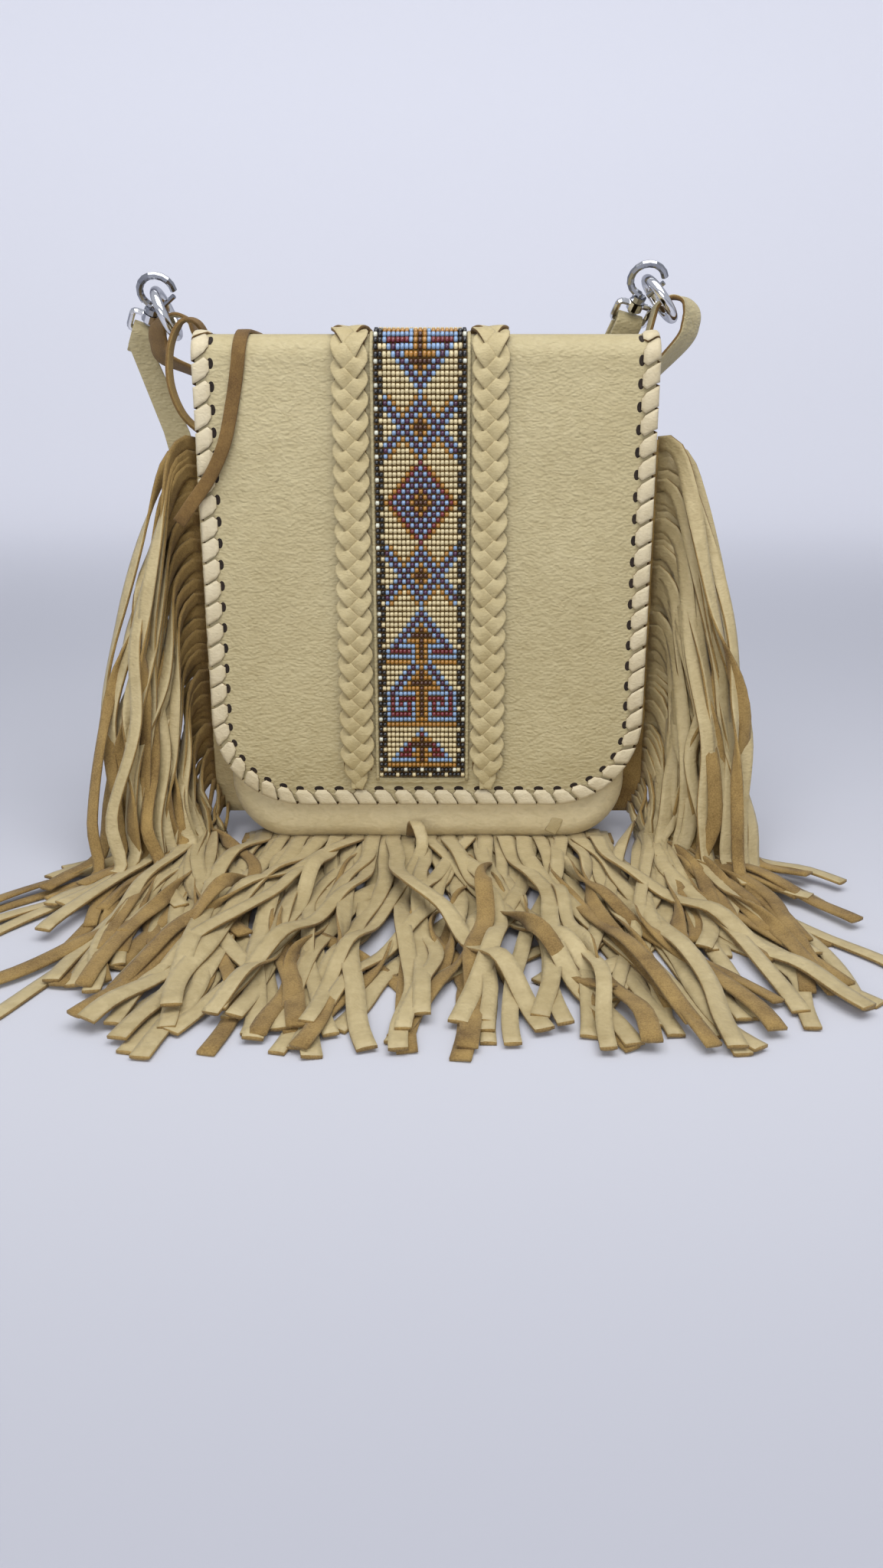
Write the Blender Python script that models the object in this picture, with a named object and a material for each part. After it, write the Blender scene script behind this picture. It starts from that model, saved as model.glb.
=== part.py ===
# Beaded buckskin purse with fringe, braids and a loomed bead strip.
# Metres, +Z up, the front faces -Y, the origin is at the middle of the base.
import math

import bmesh
import bpy
from mathutils import Matrix, Vector

MM = 0.001

# Clearances and leather
CLEAR = 0.3 * MM
PANEL = 1.8 * MM
BACK = 2.2 * MM
STRIP = 1.6 * MM

# Pouch
HALF_WIDTH = 95 * MM
FRONT_Y = -24 * MM
BACK_Y = 21 * MM
CORNER = 30 * MM
ROLL = 10 * MM
FRONT_TOP = 208 * MM
GUSSET_TOP = 222 * MM
NARROW = 84 * MM
SHOULDER_Z = 212 * MM

# Flap, laid out flat: X across, V down from the fold at the back
HINGE_Z = 231.2 * MM
FLAP_Y = -29 * MM
FLAP_HALF = 98.6 * MM
FLAP_BOTTOM = 23 * MM
FLAP_CORNER = 40 * MM
BEND = 9 * MM
NOTCH = 38 * MM

# Lacing, braids and beads on the flap
LACE = 1.2 * MM
LACE_RISE = 0.8 * MM
LACE_REACH = 5.6 * MM
LACE_PITCH = 9.4 * MM
BAND_X = -2.5 * MM
BRAID_X = 30.2 * MM
BRAID_HALF = 8.3 * MM
BRAID_REPEAT = 8.9 * MM
BRAID_TOP_V = 6 * MM
BRAID_BOTTOM_Z = 32 * MM
BEAD_THICK = 1.9 * MM
BEAD_COLUMN = 1.9 * MM
BEAD_ROW = 2.45 * MM
BEAD_TOP_V = 8 * MM
BEAD_BOTTOM_Z = 36 * MM

# Fringe
STRIP_WIDE = 5.2 * MM
SIDE_COUNT = 12
SIDE_WIDE = 4.6 * MM
SIDE_THICK = 1.5 * MM
SIDE_HEADING = math.radians(48)
SIDE_LAND = 85 * MM
SIDE_SAG = 1.15
SIDE_TOP = 184 * MM
SIDE_LOW = 46 * MM
SIDE_LENGTH = 212 * MM
SIDE_Y = -6 * MM
SIDE_STAND = 12 * MM
FOOT_COUNT = 19
FOOT_SPREAD = 152 * MM
FOOT_LENGTH = 205 * MM
FOOT_FAN = 0.14
FLOOR_GAP = 0.1 * MM

# Hardware
EAR_WIDE = 12 * MM
EAR_THICK = 2 * MM
EAR_LOOP = 9 * MM
EAR_Y = 20 * MM
RING_RADIUS = 10.4 * MM
RING_WIRE = 2.3 * MM
BOW_RADIUS = 7.8 * MM
BOW_WIRE = 1.7 * MM
GATE_WIRE = 1.2 * MM
GATE_SHIFT = 0.4 * MM
EYE_WIRE = 1.5 * MM
EYE_HALF = 8 * MM
EYE_DEPTH = 7 * MM
POST_RADIUS = 1.5 * MM
COLLAR_RADIUS = 3.8 * MM
COLLAR_LENGTH = 4 * MM
STRAP_WIDE = 12.6 * MM
STRAP_THICK = 2.4 * MM
STRAP_BACK = 34 * MM
STRAP_REACH = 36 * MM
STRAP_TAIL = 14 * MM
STRAP_SWEEP = 74 * MM
SNAP_RADIUS = 8 * MM
SNAP_Z = 52 * MM

# Each side's ring: where it passes through its ear, and its lean to the left
SIDES = {
    "right": {
        "sign": 1,
        "ear": Vector((113 * MM, EAR_Y, 241 * MM)),
        "lean": math.radians(37),
        "hook": Vector((-0.3, 0.55, -0.78)).normalized(),
    },
    "left": {
        "sign": -1,
        "ear": Vector((-116 * MM, EAR_Y, 233.5 * MM)),
        "lean": math.radians(23.5),
        "hook": Vector((-0.4, 0.5, -0.77)).normalized(),
    },
}

HINGE_Y = BACK_Y + BACK / 2
FACE_MID = FLAP_Y - BACK / 2
TOP_RUN = HINGE_Y - (FACE_MID + BEND)
BEND_RUN = BEND * math.pi / 2
FLAP_END = TOP_RUN + BEND_RUN + (HINGE_Z - BEND - FLAP_BOTTOM)


def material(name, colour, roughness, metallic=0.0):
    mat = bpy.data.materials.get(name) or bpy.data.materials.new(name)
    mat.use_nodes = True
    shader = mat.node_tree.nodes["Principled BSDF"]
    shader.inputs["Base Color"].default_value = (*colour, 1)
    shader.inputs["Roughness"].default_value = roughness
    shader.inputs["Metallic"].default_value = metallic
    return mat


LEATHER = material("buckskin", (0.60, 0.48, 0.27), 0.6)
PALE_LACE = material("lace_leather", (0.69, 0.58, 0.38), 0.55)
SUEDE = material("suede_side", (0.30, 0.20, 0.09), 0.9)
CHROME = material("chrome", (0.72, 0.72, 0.74), 0.12, 1.0)
CREAM = material("cream_beads", (0.66, 0.55, 0.33), 0.3)
BLACK = material("black_beads", (0.015, 0.014, 0.013), 0.25)
BLUE = material("blue_beads", (0.18, 0.36, 0.60), 0.25)
PLUM = material("plum_beads", (0.13, 0.02, 0.07), 0.25)
BROWN = material("brown_beads", (0.16, 0.05, 0.01), 0.3)


def add_object(name, verts, faces, mat):
    mesh = bpy.data.meshes.new(name)
    mesh.from_pydata([tuple(v) for v in verts], [], faces)
    bm = bmesh.new()
    bm.from_mesh(mesh)
    bmesh.ops.recalc_face_normals(bm, faces=bm.faces)
    bm.to_mesh(mesh)
    bm.free()
    mesh.shade_smooth()
    mesh.set_sharp_from_angle(angle=math.radians(35))
    obj = bpy.data.objects.new(name, mesh)
    bpy.context.collection.objects.link(obj)
    mesh.materials.append(mat)
    return obj


def thick_sheet(name, points, normals, cells, thickness, mat):
    # A sheet given by its middle surface, thickened both ways and walled at its edges.
    half = thickness / 2
    count = len(points)
    verts = [p + n * half for p, n in zip(points, normals)]
    verts += [p - n * half for p, n in zip(points, normals)]
    faces = [list(c) for c in cells] + [[i + count for i in reversed(c)] for c in cells]
    edges = {}
    for cell in cells:
        for a, b in zip(cell, cell[1:] + cell[:1]):
            edges[(a, b)] = True
    for a, b in edges:
        if (b, a) not in edges:
            faces.append([b, a, a + count, b + count])
    return add_object(name, verts, faces, mat)


def ribbon(name, path, widths, thickness, mat):
    # A flat strip: path points with the half-width vector at each.
    count = len(path)
    points, normals, cells = [], [], []
    for i, (p, w) in enumerate(zip(path, widths)):
        ahead = path[min(i + 1, count - 1)]
        behind = path[max(i - 1, 0)]
        normal = (ahead - behind).cross(w).normalized()
        points += [p - w, p + w]
        normals += [normal, normal]
    for i in range(count - 1):
        cells.append([2 * i, 2 * i + 1, 2 * i + 3, 2 * i + 2])
    return thick_sheet(name, points, normals, cells, thickness, mat)


def smooth_path(knots, per_span):
    # Catmull-Rom curve through the knots.
    ends = [knots[0] * 2 - knots[1]] + list(knots) + [knots[-1] * 2 - knots[-2]]
    path = []
    for i in range(1, len(ends) - 2):
        a, b, c, d = ends[i - 1 : i + 3]
        for k in range(per_span):
            t = k / per_span
            path.append(
                0.5 * (2 * b + (c - a) * t + (2 * a - 5 * b + 4 * c - d) * t * t
                       + (3 * b - a - 3 * c + d) * t ** 3)
            )
    path.append(knots[-1].copy())
    return path


def tube(name, path, radius, sides, mat, closed=False):
    # A round wire along a path, with turning frames carried from point to point.
    count = len(path)
    rings = []
    side = None
    for i, p in enumerate(path):
        ahead = path[(i + 1) % count] if closed or i < count - 1 else path[i]
        behind = path[i - 1] if closed or i > 0 else path[i]
        along = (ahead - behind).normalized()
        if side is None:
            side = along.orthogonal().normalized()
        side = (side - along * side.dot(along)).normalized()
        other = along.cross(side)
        rings.append([
            p + radius * (side * math.cos(a) + other * math.sin(a))
            for a in (2 * math.pi * k / sides for k in range(sides))
        ])
    return loft(name, rings, mat, closed)


def loft(name, rings, mat, closed=False):
    # Joins matching closed rings into one solid.
    sides = len(rings[0])
    verts = [v for ring in rings for v in ring]
    faces = []
    count = len(rings)
    for i in range(count if closed else count - 1):
        j = (i + 1) % count
        for k in range(sides):
            m = (k + 1) % sides
            faces.append([i * sides + k, i * sides + m, j * sides + m, j * sides + k])
    if not closed:
        faces.append(list(range(sides))[::-1])
        faces.append([(count - 1) * sides + k for k in range(sides)])
    return add_object(name, verts, faces, mat)


def boolean(target, other, operation):
    mod = target.modifiers.new(operation.lower(), "BOOLEAN")
    mod.operation = operation
    mod.object = other
    other.hide_render = True
    other.display_type = "WIRE"


def u_outline(inset, top, steps=6):
    # The pouch's outline seen from the front: down one side, round the corners, up the other.
    corner = CORNER - inset
    points = [(-(HALF_WIDTH - inset), top)]
    for side in (-1, 1):
        for k in range(steps + 1):
            a = math.pi / 2 * k / steps
            turn = math.pi + a if side < 0 else 1.5 * math.pi + a
            centre = side * (HALF_WIDTH - CORNER)
            points.append((centre + corner * math.cos(turn), CORNER + corner * math.sin(turn)))
    points.append((HALF_WIDTH - inset, top))
    return points


def front_panel():
    # A flat face whose rim rolls back through a quarter turn to the gusset.
    rim = ROLL - PANEL / 2
    points, normals, cells = [], [], []
    turns = [math.pi / 2 * k / 4 for k in range(5)]
    for turn in turns:
        inset = PANEL / 2 + rim * (1 - math.sin(turn))
        outline = u_outline(inset, FRONT_TOP)
        y = FRONT_Y + PANEL / 2 + rim * (1 - math.cos(turn))
        for i, (x, z) in enumerate(outline):
            before = outline[max(i - 1, 0)]
            after = outline[min(i + 1, len(outline) - 1)]
            out = Vector((after[1] - before[1], 0, before[0] - after[0])).normalized()
            out = -out if out.x * x < 0 or (abs(out.x) < 1e-6 and out.z > 0) else out
            points.append(Vector((x, y, z)))
            normals.append((out * math.sin(turn) + Vector((0, -math.cos(turn), 0))).normalized())
    n = len(outline)
    cells.append(list(range(n)))
    for ring in range(len(turns) - 1):
        for i in range(n - 1):
            a = ring * n + i
            cells.append([a + 1, a, a + n, a + n + 1])
    return thick_sheet("front_panel", points, normals, cells, PANEL, LEATHER)


def gusset():
    # The band that joins the two panels round the sides and the base.
    outline = u_outline(PANEL / 2, GUSSET_TOP)
    start = FRONT_Y + ROLL + CLEAR
    points, normals, cells = [], [], []
    for i, (x, z) in enumerate(outline):
        before = outline[max(i - 1, 0)]
        after = outline[min(i + 1, len(outline) - 1)]
        out = Vector((after[1] - before[1], 0, before[0] - after[0])).normalized()
        for y in (start, BACK_Y - CLEAR):
            points.append(Vector((x, y, z)))
            normals.append(out)
    for i in range(len(outline) - 1):
        cells.append([2 * i, 2 * i + 1, 2 * i + 3, 2 * i + 2])
    return thick_sheet("gusset", points, normals, cells, PANEL, LEATHER)


def back_panel():
    # Flat, and narrower above the ears so that the flap's fold fits between them.
    top = HINGE_Z - BACK / 2 - CLEAR
    outline = u_outline(0, SHOULDER_Z)
    outline = [(-NARROW, top)] + outline + [(NARROW, top)]
    y = BACK_Y + BACK / 2
    points = [Vector((x, y, z)) for x, z in outline]
    normals = [Vector((0, -1, 0))] * len(points)
    return thick_sheet("back_panel", points, normals, [list(range(len(points)))], BACK, LEATHER)


def fold(x, v, lift):
    # Carries a point of the flat flap over the top: back run, bend, then down the front.
    if v < TOP_RUN:
        return Vector((x, HINGE_Y - v, HINGE_Z + lift))
    if v < TOP_RUN + BEND_RUN:
        a = (v - TOP_RUN) / BEND
        reach = BEND + lift
        return Vector((x, FACE_MID + BEND - reach * math.sin(a),
                       HINGE_Z - BEND + reach * math.cos(a)))
    return Vector((x, FACE_MID - lift, HINGE_Z - BEND - (v - TOP_RUN - BEND_RUN)))


def fold_normal(v):
    return fold(0, v, 1) - fold(0, v, 0)


def v_of_height(z):
    return TOP_RUN + BEND_RUN + (HINGE_Z - BEND - z)


def flap_half(v):
    # Half-width of the flap down its length: narrow at the fold, round at the bottom.
    if v < NOTCH:
        return NARROW
    low = v - (FLAP_END - FLAP_CORNER)
    if low <= 0:
        return FLAP_HALF
    return FLAP_HALF - FLAP_CORNER + math.sqrt(max(FLAP_CORNER ** 2 - low ** 2, 0))


def flap_rows():
    rows = [BACK / 2, NOTCH - CLEAR, NOTCH, TOP_RUN]
    rows += [TOP_RUN + BEND_RUN * k / 4 for k in range(1, 5)]
    rows += [FLAP_END - FLAP_CORNER + FLAP_CORNER * math.sin(math.pi / 2 * k / 8) for k in range(9)]
    return rows


def flap_panel():
    rows = flap_rows()
    points, normals, cells = [], [], []
    for v in rows:
        for side in (-1, 1):
            points.append(fold(side * flap_half(v), v, 0))
            normals.append(fold_normal(v))
    for i in range(len(rows) - 1):
        cells.append([2 * i, 2 * i + 1, 2 * i + 3, 2 * i + 2])
    return thick_sheet("flap_panel", points, normals, cells, BACK, LEATHER)


def flap_edge():
    # The edge from one shoulder to the other as (x, v) with its outward direction.
    top = NOTCH + 2 * MM
    line = []
    straight = FLAP_END - FLAP_CORNER - top
    for k in range(200):
        v = top + straight * k / 200
        line.append((-FLAP_HALF, v, -1.0, 0.0))
    flat = FLAP_HALF - FLAP_CORNER
    for k in range(80):
        a = math.pi / 2 * k / 80
        line.append((-flat - FLAP_CORNER * math.cos(a),
                     FLAP_END - FLAP_CORNER + FLAP_CORNER * math.sin(a),
                     -math.cos(a), math.sin(a)))
    half_base = [(-flat + flat * k / 100, FLAP_END, 0.0, 1.0) for k in range(100)]
    line += half_base
    mirrored = [(-x, v, -ox, ov) for x, v, ox, ov in reversed(line)]
    return line + [(0.0, FLAP_END, 0.0, 1.0)] + mirrored


def even_steps(line, pitch):
    # Picks points at an even pitch along a finely drawn line.
    total = [0.0]
    for a, b in zip(line, line[1:]):
        total.append(total[-1] + math.hypot(b[0] - a[0], b[1] - a[1]))
    count = round(total[-1] / pitch)
    picked, j = [], 0
    for k in range(count + 1):
        want = total[-1] * k / count
        while j < len(total) - 1 and total[j] < want:
            j += 1
        picked.append(line[j])
    return picked


def flap_lacing():
    # Whipstitches as one ridged channel over the flap's edge: high and low by turns.
    rings = []
    base = BACK / 2 + CLEAR
    for i, (x, v, ox, ov) in enumerate(even_steps(flap_edge(), LACE_PITCH / 2)):
        thick = LACE + (LACE_RISE if i % 2 else 0)
        outer = CLEAR + thick
        section = [(-LACE_REACH, base), (CLEAR, base), (CLEAR, -base), (-LACE_REACH, -base),
                   (-LACE_REACH, -base - LACE), (outer - LACE / 2, -base - LACE),
                   (outer, 0), (outer - LACE / 2, base + thick), (-LACE_REACH, base + thick)]
        rings.append([fold(x + ox * o, v + ov * o, n) for o, n in section])
    return loft("flap_lacing", rings, PALE_LACE)


def braid(name, side):
    # A flat braid as a ridge whose two rows of strands rise by turns.
    low = BACK / 2 + CLEAR
    centre = BAND_X + side * BRAID_X
    top, bottom = BRAID_TOP_V, v_of_height(BRAID_BOTTOM_Z)
    count = round((bottom - top) / (BRAID_REPEAT / 2))
    rings = []
    for i in range(count + 1):
        v = top + (bottom - top) * i / count
        left, right = (3.6 * MM, 2.0 * MM) if i % 2 else (2.0 * MM, 3.6 * MM)
        section = [(-BRAID_HALF, low), (-BRAID_HALF, low + 1.4 * MM), (-BRAID_HALF / 2, low + left),
                   (0, low + 2.2 * MM), (BRAID_HALF / 2, low + right),
                   (BRAID_HALF, low + 1.4 * MM), (BRAID_HALF, low)]
        rings.append([fold(centre + x, v, n) for x, n in section])
    return loft(name, rings, PALE_LACE)


def grown(outline, grow):
    # Moves each side of a flat outline outwards and joins the sides again.
    area = sum(a[0] * b[1] - b[0] * a[1] for a, b in zip(outline, outline[1:] + outline[:1]))
    turn = 1 if area > 0 else -1
    moved = []
    for i, point in enumerate(outline):
        before, after = Vector(outline[i - 1]), Vector(outline[(i + 1) % len(outline)])
        here = Vector(point)
        first, second = (here - before).normalized(), (after - here).normalized()
        out_a = Vector((first.y, -first.x)) * turn
        out_b = Vector((second.y, -second.x)) * turn
        middle = (out_a + out_b).normalized()
        moved.append(tuple(here + middle * grow / max(middle.dot(out_a), 0.3)))
    return moved


def bead_plate(name, outline, low, high, mat):
    # A flat field of beads on the flap's front, from an (x, z) outline.
    rings = [[Vector((BAND_X + x, FACE_MID - n, z)) for x, z in outline] for n in (low, high)]
    return loft(name, rings, mat)


def motif_outlines():
    # Fields of colour, top to bottom: arrow, lattice, diamond, lattice, two arrows.
    c, r = BEAD_COLUMN, BEAD_ROW
    foot = BEAD_BOTTOM_Z

    def placed(shape, row):
        return [(x * c, foot + (row + z) * r) for x, z in shape]

    diamond = [(0, -6.8), (8, 0), (0, 6.8), (-8, 0)]
    lattice = [(0, -1.8), (6.4, -5.2), (8, -4.2), (2.6, 0), (8, 4.2), (6.4, 5.2), (0, 1.8),
               (-6.4, 5.2), (-8, 4.2), (-2.6, 0), (-8, -4.2), (-6.4, -5.2)]
    arrow = [(-8, 0), (8, 0), (8, 1.6), (1.2, 6.8), (-1.2, 6.8), (-8, 1.6)]
    return {
        "bead_arrow_top": (placed([(x, -0.7 * z) for x, z in arrow], 75.4), PLUM),
        "bead_lattice_upper": (placed(lattice, 64.2), BLUE),
        "bead_diamond": (placed(diamond, 50.3), PLUM),
        "bead_lattice_lower": (placed(lattice, 36.8), BLUE),
        "bead_arrow_middle": (placed(arrow, 22.6), BLUE),
        "bead_arrow_low": (placed(arrow, 13.2), PLUM),
        "bead_arrow_foot": (placed(arrow, 3.4), BROWN),
    }


def bead_strip():
    # The ground runs over the top edge; the motifs sit in windows cut through it.
    low = BACK / 2 + CLEAR
    high = low + BEAD_THICK
    field = 8.5 * BEAD_COLUMN
    rows = [BEAD_TOP_V, TOP_RUN] + [TOP_RUN + BEND_RUN * k / 4 for k in range(1, 5)]
    rows.append(v_of_height(BEAD_BOTTOM_Z + 2 * BEAD_ROW + CLEAR))
    rings = [
        [fold(BAND_X + x, v, n) for x, n in ((-field, low), (field, low), (field, high), (-field, high))]
        for v in rows
    ]
    ground = loft("bead_ground", rings, CREAM)
    for name, (outline, mat) in motif_outlines().items():
        bead_plate(name, outline, low, high, mat)
        cutter = bead_plate(name + "_window", grown(outline, CLEAR), low - 1 * MM, high + 1 * MM, mat)
        boolean(ground, cutter, "DIFFERENCE")
    edge_rows = [BEAD_TOP_V] + rows[1:-1]
    bottom = v_of_height(BEAD_BOTTOM_Z)
    inner, outer = field + CLEAR, 10.5 * BEAD_COLUMN
    points, normals, cells = [], [], []
    levels = edge_rows + [v_of_height(BEAD_BOTTOM_Z + 2 * BEAD_ROW), bottom]
    for v in levels:
        for x in (-outer, -inner, inner, outer):
            points.append(fold(BAND_X + x, v, (low + high) / 2))
            normals.append(fold_normal(v))
    for i in range(len(levels) - 1):
        a, b = 4 * i, 4 * i + 4
        spans = (0, 2) if i < len(levels) - 2 else (0, 1, 2)
        cells += [[a + k, a + k + 1, b + k + 1, b + k] for k in spans]
    thick_sheet("bead_border", points, normals, cells, BEAD_THICK, BLACK)


def lace_tail():
    # The lacing's cut end, tucked between the flap and the pouch.
    y = FLAP_Y + CLEAR + LACE + CLEAR + STRIP / 2
    knots = [Vector((FLAP_HALF - inset * MM, y, FLAP_BOTTOM + rise * MM))
             for inset, rise in ((30.6, 7), (34.6, -5), (39.6, -17))]
    ribbon("lace_tail", knots, [Vector((2.7, 0, -1.1)) * MM] * 3, STRIP / 2, PALE_LACE)


def flap_thong():
    # A suede thong that hangs over the top edge and slants across the lacing.
    low = BACK / 2 + CLEAR + STRIP / 2
    over = low + LACE + LACE_RISE + CLEAR
    knots = [(20.6, 10, low), (20.6, 40, low), (18.6, 58, low), (15.6, 75, low), (11.6, 92, over),
             (4.6, 106, over), (-4.4, 118, over), (-10.4, 126, over)]
    flat = smooth_path([Vector((inset * MM - FLAP_HALF, v * MM, n)) for inset, v, n in knots], 5)
    path = [fold(*spot) for spot in flat]
    widths = []
    for i, spot in enumerate(flat):
        along = path[min(i + 1, len(path) - 1)] - path[max(i - 1, 0)]
        widths.append(along.cross(fold_normal(spot.y)).normalized() * 2.9 * MM)
    ribbon("flap_thong", path, widths, STRIP, SUEDE)


def ring_thong():
    # A suede thong that loops from the left ear over the pouch's corner and back to its side.
    spots = [(-2.2, 8, 0), (-3.0, 6, 14), (-6.5, 0, 25), (-13, -6, 26), (-18, -9, 16),
             (-19, -10, 1), (-15, -9, -12), (-8, -6, -20), (-2, 0, -24)]
    corner = Vector((-HALF_WIDTH, 0, SHOULDER_Z))
    path = smooth_path([corner + Vector(s) * MM for s in spots], 2)
    across = Vector((0.25, 1, 0.1)).normalized() * 2.8 * MM
    ribbon("ring_thong", path, [across] * len(path), STRIP, SUEDE)


def ease(t):
    t = min(max(t, 0.0), 1.0)
    return t * t * (3 - 2 * t)


def side_strip(k, count):
    # One side strip: a sagging run from the seam to the floor, then along it, in one heading.
    share = k / (count - 1)
    start_z = SIDE_TOP + (SIDE_LOW - SIDE_TOP) * share
    heading = SIDE_HEADING * (1 - share) + math.radians(2)
    direction = Vector((math.sin(heading), -math.cos(heading), 0))
    floor = FLOOR_GAP + SIDE_THICK / 2
    origin = Vector((HALF_WIDTH + CLEAR + SIDE_STAND, SIDE_Y, floor))
    path = []
    for step in range(8):
        t = step / 7
        drop = (start_z - floor) * (1 - t) ** SIDE_SAG
        path.append(origin + direction * SIDE_LAND * t + Vector((0, 0, drop)))
    used = sum((b - a).length for a, b in zip(path, path[1:]))
    left = max(SIDE_LENGTH - used, 6 * MM)
    path += [path[-1] + direction * left / 2, path[-1] + direction * left]
    level = Vector((math.cos(heading), math.sin(heading), 0))
    upright = Vector((0, 0, 1))
    widths = []
    for i in range(len(path)):
        t = ease(i / 3)
        widths.append((upright * (1 - t) + level * t).normalized() * SIDE_WIDE / 2)
    return path, widths


def side_fringe(name, sign):
    # A header sewn along the side seam, with one strip from each of its wide cells.
    points, normals, cells = [], [], []

    def put(p, n):
        points.append(Vector((p.x * sign, p.y, p.z)))
        normals.append(Vector((n.x * sign, n.y, n.z)))
        return len(points) - 1

    inner, outer = [], []
    for k in range(SIDE_COUNT):
        path, widths = side_strip(k, SIDE_COUNT)
        for edge in (1, -1):
            rim = path[0] + widths[0] * edge
            seam = Vector((HALF_WIDTH + CLEAR, SIDE_Y, rim.z))
            inner.append(put(seam, Vector((0, 1, 0))))
            outer.append(put(rim, Vector((0, 1, 0))))
        above, below = outer[-2], outer[-1]
        for i in range(1, len(path)):
            along = path[min(i + 1, len(path) - 1)] - path[i - 1]
            normal = widths[i].cross(along).normalized()
            a = put(path[i] + widths[i], normal)
            b = put(path[i] - widths[i], normal)
            cells.append([above, a, b, below])
            above, below = a, b
    for i in range(2 * SIDE_COUNT - 1):
        cells.append([inner[i], outer[i], outer[i + 1], inner[i + 1]])
    return thick_sheet(name, points, normals, cells, SIDE_THICK, LEATHER)


def foot_fringe(name, level):
    # A header under the front roll, with its strips laid forward on the floor in a fan.
    height = FLOOR_GAP + STRIP / 2 + level * (STRIP + 0.6 * MM)
    roll_z = height + STRIP / 2
    back_y = FRONT_Y + ROLL - math.sqrt(ROLL ** 2 - (ROLL - roll_z) ** 2) - 2 * CLEAR
    front_y = FRONT_Y - 6 * MM
    count = FOOT_COUNT - level
    pitch = FOOT_SPREAD / FOOT_COUNT
    points, normals, cells = [], [], []
    up = Vector((0, 0, 1))

    def put(x, y, z):
        points.append(Vector((x, y, z)))
        normals.append(up)
        return len(points) - 1

    inner, outer = [], []
    for k in range(count):
        x = (k - (count - 1) / 2) * pitch
        fan = FOOT_FAN * x / (FOOT_SPREAD / 2)
        length = FOOT_LENGTH * (1 + 0.035 * math.sin(2.7 * k + level))
        lift = level * 5 * MM * (0.6 + 0.4 * math.sin(1.9 * k))
        left, right = x - STRIP_WIDE / 2, x + STRIP_WIDE / 2
        for side in (left, right):
            inner.append(put(side, back_y, height))
            outer.append(put(side, front_y, height))
        a, b = outer[-2], outer[-1]
        for step in (0.2, 0.4, 0.6, 0.8, 1.0):
            run = length * step
            drift = run * math.tan(fan)
            z = height + lift * math.sin(math.pi * step)
            c, d = put(left + drift, front_y - run, z), put(right + drift, front_y - run, z)
            cells.append([a, c, d, b])
            a, b = c, d
    for i in range(2 * count - 1):
        cells.append([inner[i], outer[i], outer[i + 1], inner[i + 1]])
    return thick_sheet(name, points, normals, cells, STRIP, LEATHER)


def ear(side, facts):
    # A doubled leather tab on the pouch's side that opens into a loop for the ring.
    sign = facts["sign"]
    hole = facts["ear"]
    inner_x = HALF_WIDTH + CLEAR + EAR_THICK / 2
    outer_x = inner_x + EAR_THICK + 2 * CLEAR
    low = SHOULDER_Z - 20 * MM
    reach = abs(hole.x)
    knots = [(inner_x, low), (inner_x, SHOULDER_Z - 5 * MM), (inner_x + 2 * MM, SHOULDER_Z + 4 * MM)]
    for degrees in (178, 140, 100, 60, 20, -20, -60):
        a = math.radians(degrees)
        knots.append((reach + EAR_LOOP * math.cos(a), hole.z + EAR_LOOP * math.sin(a)))
    knots += [(outer_x + 3 * MM, SHOULDER_Z + 3 * MM), (outer_x, SHOULDER_Z - 6 * MM), (outer_x, low)]
    path = smooth_path([Vector((sign * x, EAR_Y, z)) for x, z in knots], 2)
    across = Vector((0, EAR_WIDE / 2, 0))
    ribbon("ear_" + side, path, [across] * len(path), EAR_THICK, LEATHER)


def ring(side, facts):
    # A wire ring through the ear, leaning on the hook.
    lean = Vector((-math.sin(facts["lean"]), 0, math.cos(facts["lean"])))
    centre = facts["ear"] + lean * RING_RADIUS
    cross = Vector((0, 1, 0))
    path = [centre + RING_RADIUS * (lean * math.cos(a) + cross * math.sin(a))
            for a in (2 * math.pi * k / 20 for k in range(20))]
    obj = tube("ring_" + side, path, RING_WIRE, 8, CHROME, closed=True)
    obj.data.transform(Matrix.Translation(-facts["ear"]))
    obj.location = facts["ear"]
    return centre + lean * RING_RADIUS


def hook_frame(grip, axis):
    # The hook's own axes: Z back up from its eye, X across, Y through the bow.
    up = -axis
    across = Vector((1, 0, 0))
    across = (across - up * across.dot(up)).normalized()
    through = up.cross(across)
    frame = Matrix((across, through, up)).transposed().to_4x4()
    return Matrix.Translation(grip) @ frame


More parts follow.
